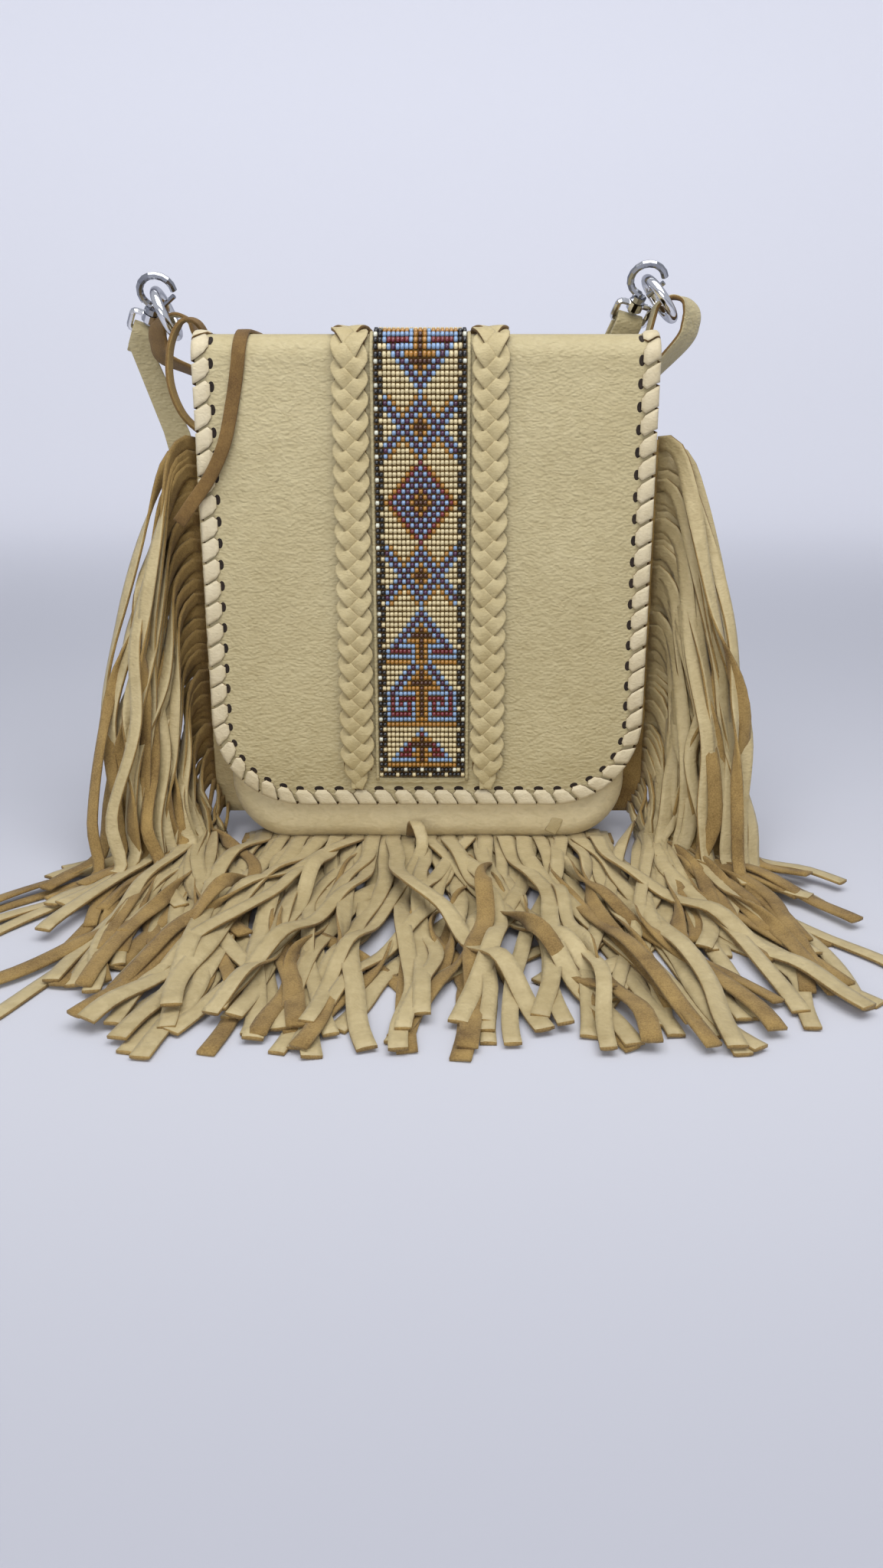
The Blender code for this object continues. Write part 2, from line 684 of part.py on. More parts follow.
def hook(side, facts, grip):
    # A snap hook on the ring: bow and post turn in the collar, the gate in the bow, which is
    # shifted so that the ring lies away from the gate.
    place = hook_frame(grip, facts["hook"]) @ Matrix.Translation(Vector((GATE_SHIFT, 0, 0)))
    arc = [math.radians(28 + (270 - 28) * k / 12) for k in range(13)]
    path = [Vector((BOW_RADIUS * math.cos(a), 0, BOW_RADIUS * math.sin(a))) for a in arc]
    path.append(Vector((0, 0, -BOW_RADIUS - 1.5 * MM)))
    path[-2] = Vector((-0.8 * MM, 0, -BOW_RADIUS + 0.2 * MM))
    bow = tube("hook_" + side, path, BOW_WIRE, 8, CHROME)
    neck = -BOW_RADIUS - 0.6 * MM
    flange = neck - 2.6 * MM
    collar_top = flange - CLEAR
    collar_end = collar_top - COLLAR_LENGTH
    button_top = collar_end - CLEAR
    button_end = button_top - 1.2 * MM
    profile = [(3.4 * MM, neck), (3.4 * MM, flange), (POST_RADIUS, flange),
               (POST_RADIUS, button_top), (2.4 * MM, button_top), (2.4 * MM, button_end)]
    rings = [[Vector((r * math.cos(a), r * math.sin(a), z))
              for a in (2 * math.pi * k / 10 for k in range(10))] for r, z in profile]
    post = loft("post_" + side, rings, CHROME)
    boolean(bow, post, "UNION")
    pivot = Vector((3.5 * MM, 0, neck + CLEAR + GATE_WIRE / 2))
    tip = Vector((BOW_RADIUS * math.cos(math.radians(8)), 0, BOW_RADIUS * math.sin(math.radians(8))))
    gate = tube("gate_" + side, [pivot, pivot.lerp(tip, 0.5), tip], GATE_WIRE, 8, CHROME)
    gate.data.transform(Matrix.Translation(-pivot))
    gate.matrix_world = place @ Matrix.Translation(pivot)
    bow.matrix_world = place
    post.matrix_world = place
    return eye(side, place, collar_top, collar_end)


def eye(side, place, collar_top, collar_end):
    # The strap's eye: a rounded frame with a collar for the hook's post.
    low = collar_end - EYE_DEPTH
    corner = 2 * MM
    path = []
    for cx, cz, start in ((EYE_HALF, collar_top - EYE_WIRE, 0), (-EYE_HALF, collar_top - EYE_WIRE, 90),
                          (-EYE_HALF, low, 180), (EYE_HALF, low, 270)):
        inward = Vector((-math.copysign(corner, cx), 0, corner if start >= 180 else -corner))
        for k in range(4):
            a = math.radians(start + 30 * k)
            path.append(Vector((cx, 0, cz)) + inward
                        + corner * Vector((math.cos(a), 0, math.sin(a))))
    frame = tube("strap_eye_" + side, path, EYE_WIRE, 8, CHROME, closed=True)
    collar = loft("collar_" + side, [
        [Vector((COLLAR_RADIUS * math.cos(a), COLLAR_RADIUS * math.sin(a), z))
         for a in (2 * math.pi * k / 12 for k in range(12))] for z in (collar_end, collar_top)], CHROME)
    bore_radius = POST_RADIUS + CLEAR
    bore = loft("bore_" + side, [
        [Vector((bore_radius * math.cos(a), bore_radius * math.sin(a), z))
         for a in (2 * math.pi * k / 10 for k in range(10))]
        for z in (collar_end - 4 * MM, collar_top + 1 * MM)], CHROME)
    boolean(frame, collar, "UNION")
    boolean(frame, bore, "DIFFERENCE")
    for obj in (frame, collar, bore):
        obj.matrix_world = place
    return place @ Matrix.Translation(Vector((0, 0, low)))


def strap_end(bar):
    # Up behind the eye's bar, over it and down in front, with the width along the bar.
    turn = EYE_WIRE + CLEAR + STRAP_THICK / 2
    spots = [(turn, -STRAP_TAIL), (turn, -STRAP_TAIL / 2)]
    spots += [(turn * math.cos(a), turn * math.sin(a))
              for a in (math.radians(36 * k) for k in range(6))]
    spots.append((-turn, -STRAP_TAIL / 2))
    return [bar @ Vector((0, y, z)) for y, z in spots]


def strap(bar_right, bar_left):
    # The shoulder strap: looped round each eye's bar, slanting down behind the back, where it
    # doesn't show from the front, and round on the floor.
    floor = FLOOR_GAP + STRAP_THICK / 2

    def hanging(bar):
        x = bar.translation.x
        drop = [(0.93, 8, 190), (0.8, 3, 120), (0.7, 0, 60), (0.66, 3, 22), (0.65, 11, 7)]
        down = [Vector((x * share, STRAP_BACK + y * MM, z * MM)) for share, y, z in drop]
        return down + [Vector((x * 0.65, STRAP_BACK + 26 * MM, floor))]

    right = strap_end(bar_right)
    left = strap_end(bar_left)[::-1]
    down, up = hanging(bar_right), hanging(bar_left)[::-1]
    middle = (down[-1].x + up[0].x) / 2
    half = (down[-1].x - up[0].x) / 2
    sweep = []
    for k in range(1, 12):
        a = math.pi * k / 12
        sweep.append(Vector((middle + half * math.cos(a),
                             STRAP_BACK + STRAP_REACH + STRAP_SWEEP * math.sin(a), floor)))
    path = right + down + sweep + up + left
    widths = []
    first, last = len(right) + len(down), len(path) - len(up) - len(left)
    for i in range(len(path)):
        w = Vector((1, 0, 0))
        if i < len(right):
            w = bar_right.to_3x3() @ w
        elif first <= i < last:
            along = (path[i + 1] - path[i - 1]).normalized()
            w = Vector((along.y, -along.x, 0))
        elif i >= len(path) - len(left):
            w = bar_left.to_3x3() @ -w
        elif i >= last:
            w = -w
        widths.append(w * STRAP_WIDE / 2)
    ribbon("strap", path, widths, STRAP_THICK, LEATHER)


def snap():
    # A plain round snap: the socket on the front panel, the stud under the flap.
    socket_face = FRONT_Y - CLEAR - 2.2 * MM
    for name, start, end, radius in (
        ("snap_socket", FRONT_Y - CLEAR, socket_face, SNAP_RADIUS),
        ("snap_stud", FLAP_Y + CLEAR, socket_face - CLEAR, SNAP_RADIUS - 1 * MM),
    ):
        rings = [[Vector((BAND_X + radius * math.cos(a), y, SNAP_Z + radius * math.sin(a)))
                  for a in (2 * math.pi * k / 20 for k in range(20))] for y in (start, end)]
        loft(name, rings, CHROME)


def main():
    for obj in list(bpy.data.objects):
        bpy.data.objects.remove(obj, do_unlink=True)
    front_panel()
    gusset()
    back_panel()
    snap()
    flap_panel()
    flap_lacing()
    braid("braid_left", -1)
    braid("braid_right", 1)
    bead_strip()
    lace_tail()
    flap_thong()
    ring_thong()
    side_fringe("fringe_right", 1)
    side_fringe("fringe_left", -1)
    foot_fringe("fringe_lower", 0)
    foot_fringe("fringe_upper", 1)
    bars = {}
    for side, facts in SIDES.items():
        ear(side, facts)
        bars[side] = hook(side, facts, ring(side, facts))
    strap(bars["right"], bars["left"])


main()
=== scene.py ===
import math

import bmesh
import bpy
import numpy as np
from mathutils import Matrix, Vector


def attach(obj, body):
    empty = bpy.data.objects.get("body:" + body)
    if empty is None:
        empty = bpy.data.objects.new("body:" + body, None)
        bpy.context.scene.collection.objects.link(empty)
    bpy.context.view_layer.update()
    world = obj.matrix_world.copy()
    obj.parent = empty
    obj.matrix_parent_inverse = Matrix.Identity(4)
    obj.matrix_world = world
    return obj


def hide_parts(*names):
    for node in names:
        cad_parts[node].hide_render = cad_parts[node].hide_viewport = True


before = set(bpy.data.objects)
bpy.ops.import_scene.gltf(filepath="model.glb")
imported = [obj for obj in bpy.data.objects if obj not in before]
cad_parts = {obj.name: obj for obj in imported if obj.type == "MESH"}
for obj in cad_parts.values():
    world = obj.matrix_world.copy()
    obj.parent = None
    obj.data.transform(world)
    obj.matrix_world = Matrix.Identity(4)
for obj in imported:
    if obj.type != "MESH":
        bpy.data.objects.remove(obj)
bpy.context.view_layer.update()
mm = 0.001
dice = np.random.default_rng(11)
print("frame loaded:", len(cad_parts), "nodes")


# Shader sockets that take plain sums, so a mask is written as 1 - grain * 0.5.
class Wave:
    def __init__(self, tree, socket):
        self.tree, self.socket = tree, socket

    def join(self, operation, first, second):
        node = self.tree.nodes.new("ShaderNodeMath")
        node.operation = operation
        for place, value in zip(node.inputs, (first, second)):
            if isinstance(value, Wave):
                self.tree.links.new(value.socket, place)
            else:
                place.default_value = value
        return Wave(self.tree, node.outputs[0])

    def __add__(self, other):
        return self.join("ADD", self, other)

    def __sub__(self, other):
        return self.join("SUBTRACT", self, other)

    def __rsub__(self, other):
        return self.join("SUBTRACT", other, self)

    def __mul__(self, other):
        return self.join("MULTIPLY", self, other)

    def __pow__(self, other):
        return self.join("POWER", self, other)

    __radd__, __rmul__ = __add__, __mul__


class Finish:
    def __init__(self, name):
        self.material = bpy.data.materials.new(name)
        self.material.use_nodes = True
        self.tree = self.material.node_tree
        self.shader = self.tree.nodes["Principled BSDF"]

    def node(self, kind, settings=None, inputs=None, out=0):
        # settings first, a ramp's two stops among them, then each socket's value or link
        node = self.tree.nodes.new(kind)
        for key, value in (settings or {}).items():
            if key == "stops":
                for element, (place, colour) in zip(node.color_ramp.elements, value):
                    element.position, element.color = place, (*colour, 1)
            else:
                setattr(node, key, value)
        for key, value in (inputs or {}).items():
            self.feed(node.inputs[key], value)
        return Wave(self.tree, node.outputs[out])

    def feed(self, socket, value):
        if isinstance(value, Wave):
            self.tree.links.new(value.socket, socket)
        elif hasattr(socket.default_value, "__len__") and len(value) == 3 \
                and len(socket.default_value) == 4:
            socket.default_value = (*value, 1)
        else:
            socket.default_value = value

    def noise(self, where, scale, detail, rough=0.55, twist=0.0):
        return self.node("ShaderNodeTexNoise", None, {
            "Vector": where, "Scale": scale, "Detail": detail, "Roughness": rough,
            "Distortion": twist})

    def blend(self, factor, first, second):
        return self.node("ShaderNodeMix", {"data_type": "RGBA"},
                         {0: factor, 6: first, 7: second}, out=2)

    def place(self):
        return self.node("ShaderNodeTexCoord", out=3)

    def ramp(self, value, start, end):
        # 0 at start, 1 at end, eased at both
        return self.node("ShaderNodeMapRange", {"interpolation_type": "SMOOTHSTEP"}, {
            "Value": value, "From Min": start, "From Max": end})

    def bump(self, height, distance, strength):
        return self.node("ShaderNodeBump", None, {
            "Height": height, "Distance": distance, "Strength": strength})

    def set(self, **sockets):
        for key, value in sockets.items():
            self.feed(self.shader.inputs[key.replace("_", " ")], value)
        return self.material


def linear(*levels):
    # screen colour 0 to 255 as the linear light that the shader works in
    return tuple(((c / 255 + 0.055) / 1.055) ** 2.4 for c in levels)


def leather(name, settings):
    # Hide: patchy tone, ripples that run across it and come and go, small pebbles between; the
    # ripple hollows get painted shade.
    finish = Finish(name)
    where = finish.place()
    stretched = finish.node("ShaderNodeMapping", {"vector_type": "POINT"}, {
        "Vector": where, "Scale": settings["stretch"], "Rotation": (0, settings["turn"], 0)})
    patch = finish.noise(where, 16, 4)
    mottle = finish.noise(where, 170, 4, 0.6)
    ripple = finish.noise(stretched, settings["ripple"], 1.6, 0.5, 1.1)
    cells = finish.node("ShaderNodeTexVoronoi", {"feature": "SMOOTH_F1"}, {
        "Vector": stretched, "Scale": settings["cells"], "Smoothness": 0.7})
    tone = patch * 0.6 + mottle * 0.4
    ramp = finish.node("ShaderNodeValToRGB", {"stops": [
        (0.34, settings["shade"]), (0.64, settings["light"])]}, {"Fac": tone})
    # painted shade: the hollows of the ripples darken towards the crease shade colour
    creaseShadeMask = (1 - ripple) ** 2.0 * settings["creaseShadeStrength"]
    creaseShaded = finish.blend(creaseShadeMask, ramp, settings["creaseShade"])
    height = ripple * (0.3 + patch) - cells * 0.55
    return finish.set(Base_Color=creaseShaded, Roughness=0.46 + 0.16 * patch + 0.1 * mottle,
                      Normal=finish.bump(height, settings["depth"], settings["force"]),
                      Coat_Weight=0.03, Sheen_Weight=0.1, Specular_IOR_Level=0.4)


def suede(name, dark, light, depth):
    # brushed flesh side: short streaks of nap over a blotchy tone
    finish = Finish(name)
    where = finish.place()
    nap = finish.noise(where, 1500, 3, 0.7)
    blotch = finish.noise(where, 55, 4, 0.6)
    tone = nap * 0.5 + blotch * 0.6
    ramp = finish.node("ShaderNodeValToRGB", {"stops": [(0.36, dark), (0.72, light)]},
                       {"Fac": tone})
    return finish.set(Base_Color=ramp, Roughness=0.92, Sheen_Weight=0.08, Sheen_Roughness=0.5,
                      Normal=finish.bump(nap + blotch, depth, 0.8))


def polished(name, colour, low, high):
    # plated metal with faint rubbing marks in its gloss
    finish = Finish(name)
    where = finish.place()
    rub = finish.noise(where, 420, 3)
    smear = finish.noise(where, 60, 2)
    return finish.set(Base_Color=colour, Metallic=1.0,
                      Roughness=low + (high - low) * (rub * 0.6 + smear * 0.4),
                      Normal=finish.bump(rub, 0.02 * mm, 0.25))


def glassBeads(name):
    # every bead carries its own tint; a noise darkens it a little, under a clear gloss
    finish = Finish(name)
    tint = finish.node("ShaderNodeAttribute", {"attribute_name": "beadTint"})
    cloud = finish.noise(finish.place(), 900, 2)
    shade = finish.node("ShaderNodeVectorMath", {"operation": "SCALE"},
                        {0: tint, "Scale": 0.78 + 0.44 * cloud})
    return finish.set(Base_Color=shade, Roughness=0.2 + 0.16 * cloud, Coat_Weight=0.5,
                      Coat_Roughness=0.12, Specular_IOR_Level=0.6)


hide = {"light": linear(192, 179, 139), "shade": linear(178, 164, 123),
        "creaseShade": linear(146, 128, 84), "cells": 520, "ripple": 210, "stretch": (1, 1, 1.7),
        "turn": 0.3, "depth": 1.0 * mm, "force": 0.65, "creaseShadeStrength": 0.45}
# The pouch hide is the buckskin with a smoother grain and a lighter tone; the lighter tone is
# painted light on the roll that the flap shades.
pouchHidePaintedLight = dict(hide, light=linear(222, 207, 168), shade=linear(212, 196, 154), depth=0.4 * mm)
laceHide = dict(hide, light=linear(216, 203, 172), shade=linear(196, 181, 146), cells=900,
                ripple=300, depth=0.35 * mm, creaseShadeStrength=0.3)
# the plaits take a darker painted crease shade
braidHide = dict(laceHide, light=linear(198, 183, 140), shade=linear(176, 159, 114),
                 creaseShade=linear(120, 100, 60), creaseShadeStrength=0.4)
stripHide = dict(hide, light=linear(194, 177, 134), shade=linear(164, 146, 104), cells=700,
                 depth=0.5 * mm, creaseShadeStrength=0.45)
buckskin = leather("buckskin", hide)
laceLeather = leather("laceLeather", laceHide)
pouchLeatherPaintedLight = leather("pouchLeatherPaintedLight", pouchHidePaintedLight)
braidLeather = leather("braidLeather", braidHide)
stripLeather = leather("stripLeather", stripHide)
fleshSide = suede("fleshSide", linear(102, 77, 37), linear(170, 141, 84), 0.35 * mm)
cutEdge = suede("cutEdge", linear(82, 58, 26), linear(134, 104, 56), 0.2 * mm)
# painted shade for the insides of the punched holes
holeShade = suede("holeShade", linear(20, 12, 7), linear(46, 32, 20), 0.1 * mm)
chrome = polished("chrome", (0.86, 0.86, 0.88), 0.04, 0.14)
darkChrome = polished("darkChrome", (0.42, 0.43, 0.46), 0.1, 0.26)
beadGlass = glassBeads("beadGlass")
print("finishes made")


def addObject(name, data):
    added = bpy.data.objects.new(name, data)
    bpy.context.scene.collection.objects.link(added)
    return added


def dress(mesh, *materials):
    mesh.materials.clear()
    for material in materials:
        mesh.materials.append(material)


def addPiece(name, points, faces, materials, slots=None):
    mesh = bpy.data.meshes.new(name)
    mesh.from_pydata(np.asarray(points, float).reshape(-1, 3).tolist(), [], faces)
    dress(mesh, *materials)
    if slots is not None:
        mesh.polygons.foreach_set("material_index", np.asarray(slots, "i"))
    mesh.polygons.foreach_set("use_smooth", np.full(len(faces), True))
    mesh.validate()
    mesh.update()
    return addObject(name, mesh)


def shells(name, upper, lower, materials, edgeSlot=1):
    # Closed sheets from two grids of the same shape (count, rows, columns, 3): the upper
    # face, the lower face and a rim between their borders; each is turned outwards by the
    # sign of its own volume, the sum of corner triple products over its faces.
    count, rows, columns = upper.shape[:3]
    cells = np.arange(rows * columns).reshape(rows, columns)
    face = np.stack([cells[:-1, :-1], cells[:-1, 1:], cells[1:, 1:], cells[1:, :-1]],
                    -1).reshape(-1, 4)
    under = face[:, ::-1] + rows * columns
    ring = np.concatenate([cells[0, :-1], cells[:-1, -1], cells[-1, :0:-1], cells[:0:-1, 0]])
    after = np.roll(ring, -1)
    rim = np.stack([after, ring, ring + rows * columns, after + rows * columns], -1)
    quads = np.concatenate([face, under, rim])
    slots = np.concatenate([np.zeros(len(face)), np.ones(len(under)),
                            np.full(len(rim), edgeSlot)])
    points = np.concatenate([upper.reshape(count, -1, 3), lower.reshape(count, -1, 3)], 1)
    middle = points.mean(1, keepdims=True)
    a, b, c, d = ((points - middle)[:, quads[:, k]] for k in range(4))
    volume = (np.cross(a, b) * c).sum((1, 2)) + (np.cross(a, c) * d).sum((1, 2))
    turned = np.where((volume < 0)[:, None, None], quads[None, :, ::-1], quads[None])
    turned = turned + (np.arange(count) * points.shape[1])[:, None, None]
    return addPiece(name, points, turned.reshape(-1, 4).tolist(), materials,
                    np.tile(slots, count))


def unit(vectors):
    return vectors / np.maximum(np.linalg.norm(vectors, axis=-1, keepdims=True), 1e-12)


def curve(knots, count):
    # Catmull-Rom through the knots: each span is a cubic of its four neighbours.
    knots = np.asarray(knots, float)
    ends = np.concatenate([[2 * knots[0] - knots[1]], knots, [2 * knots[-1] - knots[-2]]])
    spot = np.linspace(0, len(knots) - 1, count)
    i = np.minimum(spot.astype(int), len(knots) - 2)
    t = (spot - i)[:, None]
    a, b, c, d = ends[i], ends[i + 1], ends[i + 2], ends[i + 3]
    return 0.5 * (2 * b + (c - a) * t + (2 * a - 5 * b + 4 * c - d) * t ** 2
                  + (3 * b - a - 3 * c + d) * t ** 3)


def ease(t):
    t = np.clip(t, 0, 1)
    return t * t * (3 - 2 * t)


# The flap as a flat sheet (x across, v down from the hinge, lift off its middle), folded over.
flapSheet = {"hingeY": 22.1 * mm, "hingeZ": 231.2 * mm, "face": -30.1 * mm, "bend": 9 * mm,
             "half": 98.6 * mm, "narrow": 84 * mm, "notch": 38 * mm, "corner": 40 * mm,
             "low": 23 * mm, "thick": 2.2 * mm}
topRun = flapSheet["hingeY"] - flapSheet["face"] - flapSheet["bend"]
bendRun = flapSheet["bend"] * math.pi / 2


def heightToRun(z):
    return topRun + bendRun + flapSheet["hingeZ"] - flapSheet["bend"] - z


flapEnd = heightToRun(flapSheet["low"])


def swell(x, v):
    # soft leather: a low swell in the middle of the front and two crossing slow waves
    front = ease((v - topRun - bendRun) / (40 * mm)) * ease((flapEnd - v) / (25 * mm))
    side = ease((flapSheet["half"] - np.abs(x)) / (18 * mm))
    wave = 0.45 * np.sin(x * 62 + v * 31) * np.sin(v * 47 - x * 18 + 1)
    beside = ease((np.abs(x + 2.5 * mm) - 41 * mm) / (22 * mm))
    return (0.9 * side + wave * beside + 0.7 * beside * side) * front * mm


def fold(x, v, lift):
    # straight back run, a quarter turn of radius bend + lift, then straight down
    x, v, lift = np.broadcast_arrays(x, v, lift)
    lift = lift + swell(x, v)
    bend = flapSheet["bend"]
    a = np.clip((v - topRun) / bend, 0, math.pi / 2)
    reach = bend + lift
    y = flapSheet["face"] + bend - reach * np.sin(a) + np.maximum(topRun - v, 0)
    z = flapSheet["hingeZ"] - bend + reach * np.cos(a) - np.maximum(v - topRun - bendRun, 0)
    return np.stack([x, y, z], -1)


def flapHalf(v):
    # half-width: narrow at the fold, straight sides, quarter-round lower corners
    corner, half, narrow = flapSheet["corner"], flapSheet["half"], flapSheet["narrow"]
    low = np.clip(v - (flapEnd - corner), 0, corner)
    wide = half - (corner - np.sqrt(corner ** 2 - low ** 2))
    step = ease((v - flapSheet["notch"] + 3 * mm) / (5 * mm))
    return np.minimum(wide, narrow + (half - narrow) * step)


def flapLeather():
    # Grid of x = u * half-width and v; both faces folded, with a rounded rim between.
    turn = np.linspace(0, math.pi / 2, 22)[1:]
    straightEnd = flapEnd - flapSheet["corner"]
    v = np.concatenate([np.linspace(1.1 * mm, 34 * mm, 12), np.linspace(35 * mm, 41 * mm, 9),
                        np.linspace(43 * mm, straightEnd, 84),
                        straightEnd + flapSheet["corner"] * np.sin(turn)])
    u = np.sin(np.linspace(-math.pi / 2, math.pi / 2, 75))
    x = flapHalf(v)[:, None] * u[None]
    rows = np.broadcast_to(v[:, None], x.shape)
    half = flapSheet["thick"] / 2
    upper, lower = fold(x, rows, half)[None], fold(x, rows, -half)[None]
    return shells("flapLeather", upper, lower, [buckskin, fleshSide])


flap = flapLeather()
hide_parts("flap_panel")
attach(flap, "flap")

# Whipstitched lacing round the sides and the bottom. A lace runs forward to the share fore
# of its path, turns over the edge to the share rear and comes back behind.
lacing = {"pitch": 9.4 * mm, "wide": 8.3 * mm, "thick": 1.0 * mm, "reach": 6.0 * mm,
          "crown": 0.5 * mm, "dip": 0.8 * mm, "start": 0.2, "lean": 0.36, "fore": 0.4,
          "rear": 0.64, "swing": 0.75, "holeAt": 0.06, "holeLong": 2.3 * mm,
          "holeWide": 1.35 * mm, "holeRise": 0.22 * mm}


def edgeAt(s):
    # Run s along the edge to (x, v) and its outward direction: straight, arc, straight, arc.
    top = flapSheet["notch"] + 2 * mm
    corner, half = flapSheet["corner"], flapSheet["half"]
    straight = flapEnd - corner - top
    arc = corner * math.pi / 2
    flat = half - corner
    whole = 2 * (straight + arc + flat)
    mirror = s > whole / 2
    s = np.where(mirror, whole - s, s)
    a = np.clip((s - straight) / corner, 0, math.pi / 2)
    x = -flat - corner * np.cos(a) + np.maximum(s - straight - arc, 0)
    v = top + np.minimum(s, straight) + corner * np.sin(a)
    sign = np.where(mirror, -1, 1)
    return x * sign, v, -np.cos(a) * sign, np.sin(a), whole


def whipStitches():
    # Each lace leaves its hole, leans forward over the edge on a half circle and comes back
    # behind: offset from the edge and lift by the path t, width by the run s.
    whole = edgeAt(np.zeros(1))[4]
    count = round(whole / lacing["pitch"])
    pitch = whole / count
    k = np.arange(count)[:, None, None]
    t = np.linspace(0, 1, 27)[None, :, None]
    w = np.linspace(-1, 1, 7)[None, None]
    wobble = dice.uniform(-1, 1, (count, 3))[:, :, None, None]
    base = flapSheet["thick"] / 2 + 0.25 * mm
    fore, rear, swing = lacing["fore"], lacing["rear"], lacing["swing"]
    turn = np.clip((t - fore) / (rear - fore), 0, 1) * math.pi
    front, back = np.clip(t / fore, 0, 1), np.clip((t - rear) / (1 - rear), 0, 1)
    radius = base + lacing["thick"]
    offset = -lacing["reach"] * (1 - front) + np.sin(turn) * radius * swing \
        - (lacing["reach"] - 1 * mm) * back
    narrow = 1 - 0.45 * (1 - ease(front * 3)) - 0.35 * ease(back * 1.4)
    half = lacing["wide"] / 2 * narrow * (1 + 0.05 * wobble[:, 0])
    lean = lacing["lean"] * ease(t / 0.55) + (0.9 - lacing["lean"]) * ease((t - 0.5) / 0.5)
    s = (k + lacing["start"] + lean) * pitch + w * half + 0.03 * pitch * wobble[:, 1]
    bulge = lacing["crown"] * (1 - w ** 2) * (1 - 0.7 * ease(np.abs(t - 0.3) / 0.3)) \
        * (1 + 0.3 * wobble[:, 2])
    dip = lacing["dip"] * (1 - ease(front * 4))
    lift = np.cos(turn) * radius + np.where(t < 0.5, bulge - dip, -bulge * 0.3)
    shallow = np.cos(turn) * base + np.where(t < 0.5, -dip, 0)
    x, v, outX, outV, _ = edgeAt(s)

    def placed(outwards, rise):
        return fold(x + outX * outwards, v + outV * outwards, rise)

    trim = offset - np.sin(turn) * lacing["thick"] * swing
    return shells("flapLacing", placed(offset, lift), placed(trim, shallow),
                  [laceLeather, cutEdge]), count, pitch


def punchedHoleShades(count, pitch):
    # Small domes of painted shade flattened on the leather, one behind the inner end of each lace:
    # the shadowed inside of each punched hole.
    s = (np.arange(count) + lacing["holeAt"]) * pitch
    ring = np.linspace(0, 2 * math.pi, 13)[None, None]
    rise = np.linspace(0, 1, 4)[None, :, None]
    shrink = np.sqrt(1 - rise ** 2 * 0.999)
    along = np.cos(ring) * lacing["holeLong"] * shrink
    inwards = np.sin(ring) * lacing["holeWide"] * shrink - lacing["reach"] - 0.5 * mm
    x, v, outX, outV, _ = edgeAt(np.clip(s[:, None, None] + along, 0, None))
    x, v = x + outX * inwards, v + outV * inwards
    upper = fold(x, v, flapSheet["thick"] / 2 + rise * lacing["holeRise"])
    return shells("lacingHoleShades", upper, fold(x, v, 0.9 * mm), [holeShade, holeShade])


stitches, stitchCount, stitchPitch = whipStitches()
holeShades = punchedHoleShades(stitchCount, stitchPitch)
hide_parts("flap_lacing")
for piece in (stitches, holeShades):
    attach(piece, "flap")
print("lacing:", stitchCount, "stitches")

# Two flat plaits of three laces.
plait = {"middle": -2.5 * mm, "side": 30.2 * mm, "reach": 5.1 * mm, "wide": 6.7 * mm,
         "thick": 1.3 * mm, "period": 25.5 * mm, "rise": 1.0 * mm, "top": 3 * mm,
         "low": 30 * mm, "sharp": 0.975, "gapShadeHalf": 6.6 * mm}


def braidStrands(name, centre):
    # Three laces of one wave, a third of a period apart: across = a rounded zigzag, the
    # arcsine of a sine; over and under = the sine of twice the angle.
    end = heightToRun(plait["low"])
    v = np.linspace(plait["top"], end, 330)[None]
    third = np.arange(3)[:, None] * 2 * math.pi / 3
    phase = 2 * math.pi * v / plait["period"] + third
    closing = ease((end - v) / (16 * mm)) * ease((v - plait["top"] + 4 * mm) / (10 * mm))
    swing = np.arcsin(plait["sharp"] * np.sin(phase)) / math.asin(plait["sharp"])
    x = centre + plait["reach"] * swing * (0.25 + 0.75 * closing)
    over = -np.sin(2 * phase)
    slope = np.gradient(x, axis=1) / np.gradient(v, axis=1)
    across = unit(np.stack([np.ones_like(slope), -slope], -1))
    w = np.linspace(-1, 1, 9)
    half = plait["wide"] / 2 * (0.62 + 0.38 * closing)
    half = (half * (0.9 + 0.1 * np.cos(phase) ** 2))[..., None]
    px = x[..., None] + across[..., :1] * w * half
    pv = v[..., None] + across[..., 1:] * w * half
    base = flapSheet["thick"] / 2 + 0.3 * mm
    tilt = np.sin(phase)[..., None] * w * 0.35 * mm
    lift = base + (plait["rise"] * (1 + over * 0.95))[..., None] \
        * (0.35 + 0.65 * closing[..., None])
    crown = 0.12 * mm * (1 - w ** 4)
    upper = fold(px, pv, lift + tilt + crown + plait["thick"])
    lower = fold(px, pv, lift + tilt)
    return shells(name, upper, lower, [braidLeather, cutEdge])


for name, side in (("braidLeft", -1), ("braidRight", 1)):
    piece = braidStrands(name, plait["middle"] + side * plait["side"])
    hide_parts("braid_left" if side < 0 else "braid_right")
    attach(piece, "flap")

# Loomed beads in 21 columns, on a brown backing between leather bindings.
loom = {"columns": 21, "column": 1.9 * mm, "row": 2.45 * mm, "low": 36 * mm, "top": 8 * mm,
        "length": 1.72 * mm, "round": 1.04 * mm, "hole": 0.5 * mm, "back": 0.7 * mm}
tints = {
    "cream": linear(208, 192, 150), "ochre": linear(166, 116, 42), "blue": linear(128, 156, 190),
    "plum": linear(70, 30, 60), "maroon": linear(110, 28, 38), "brown": linear(70, 36, 18),
    "black": linear(18, 17, 19), "white": linear(214, 214, 196),
}
order = list(tints)


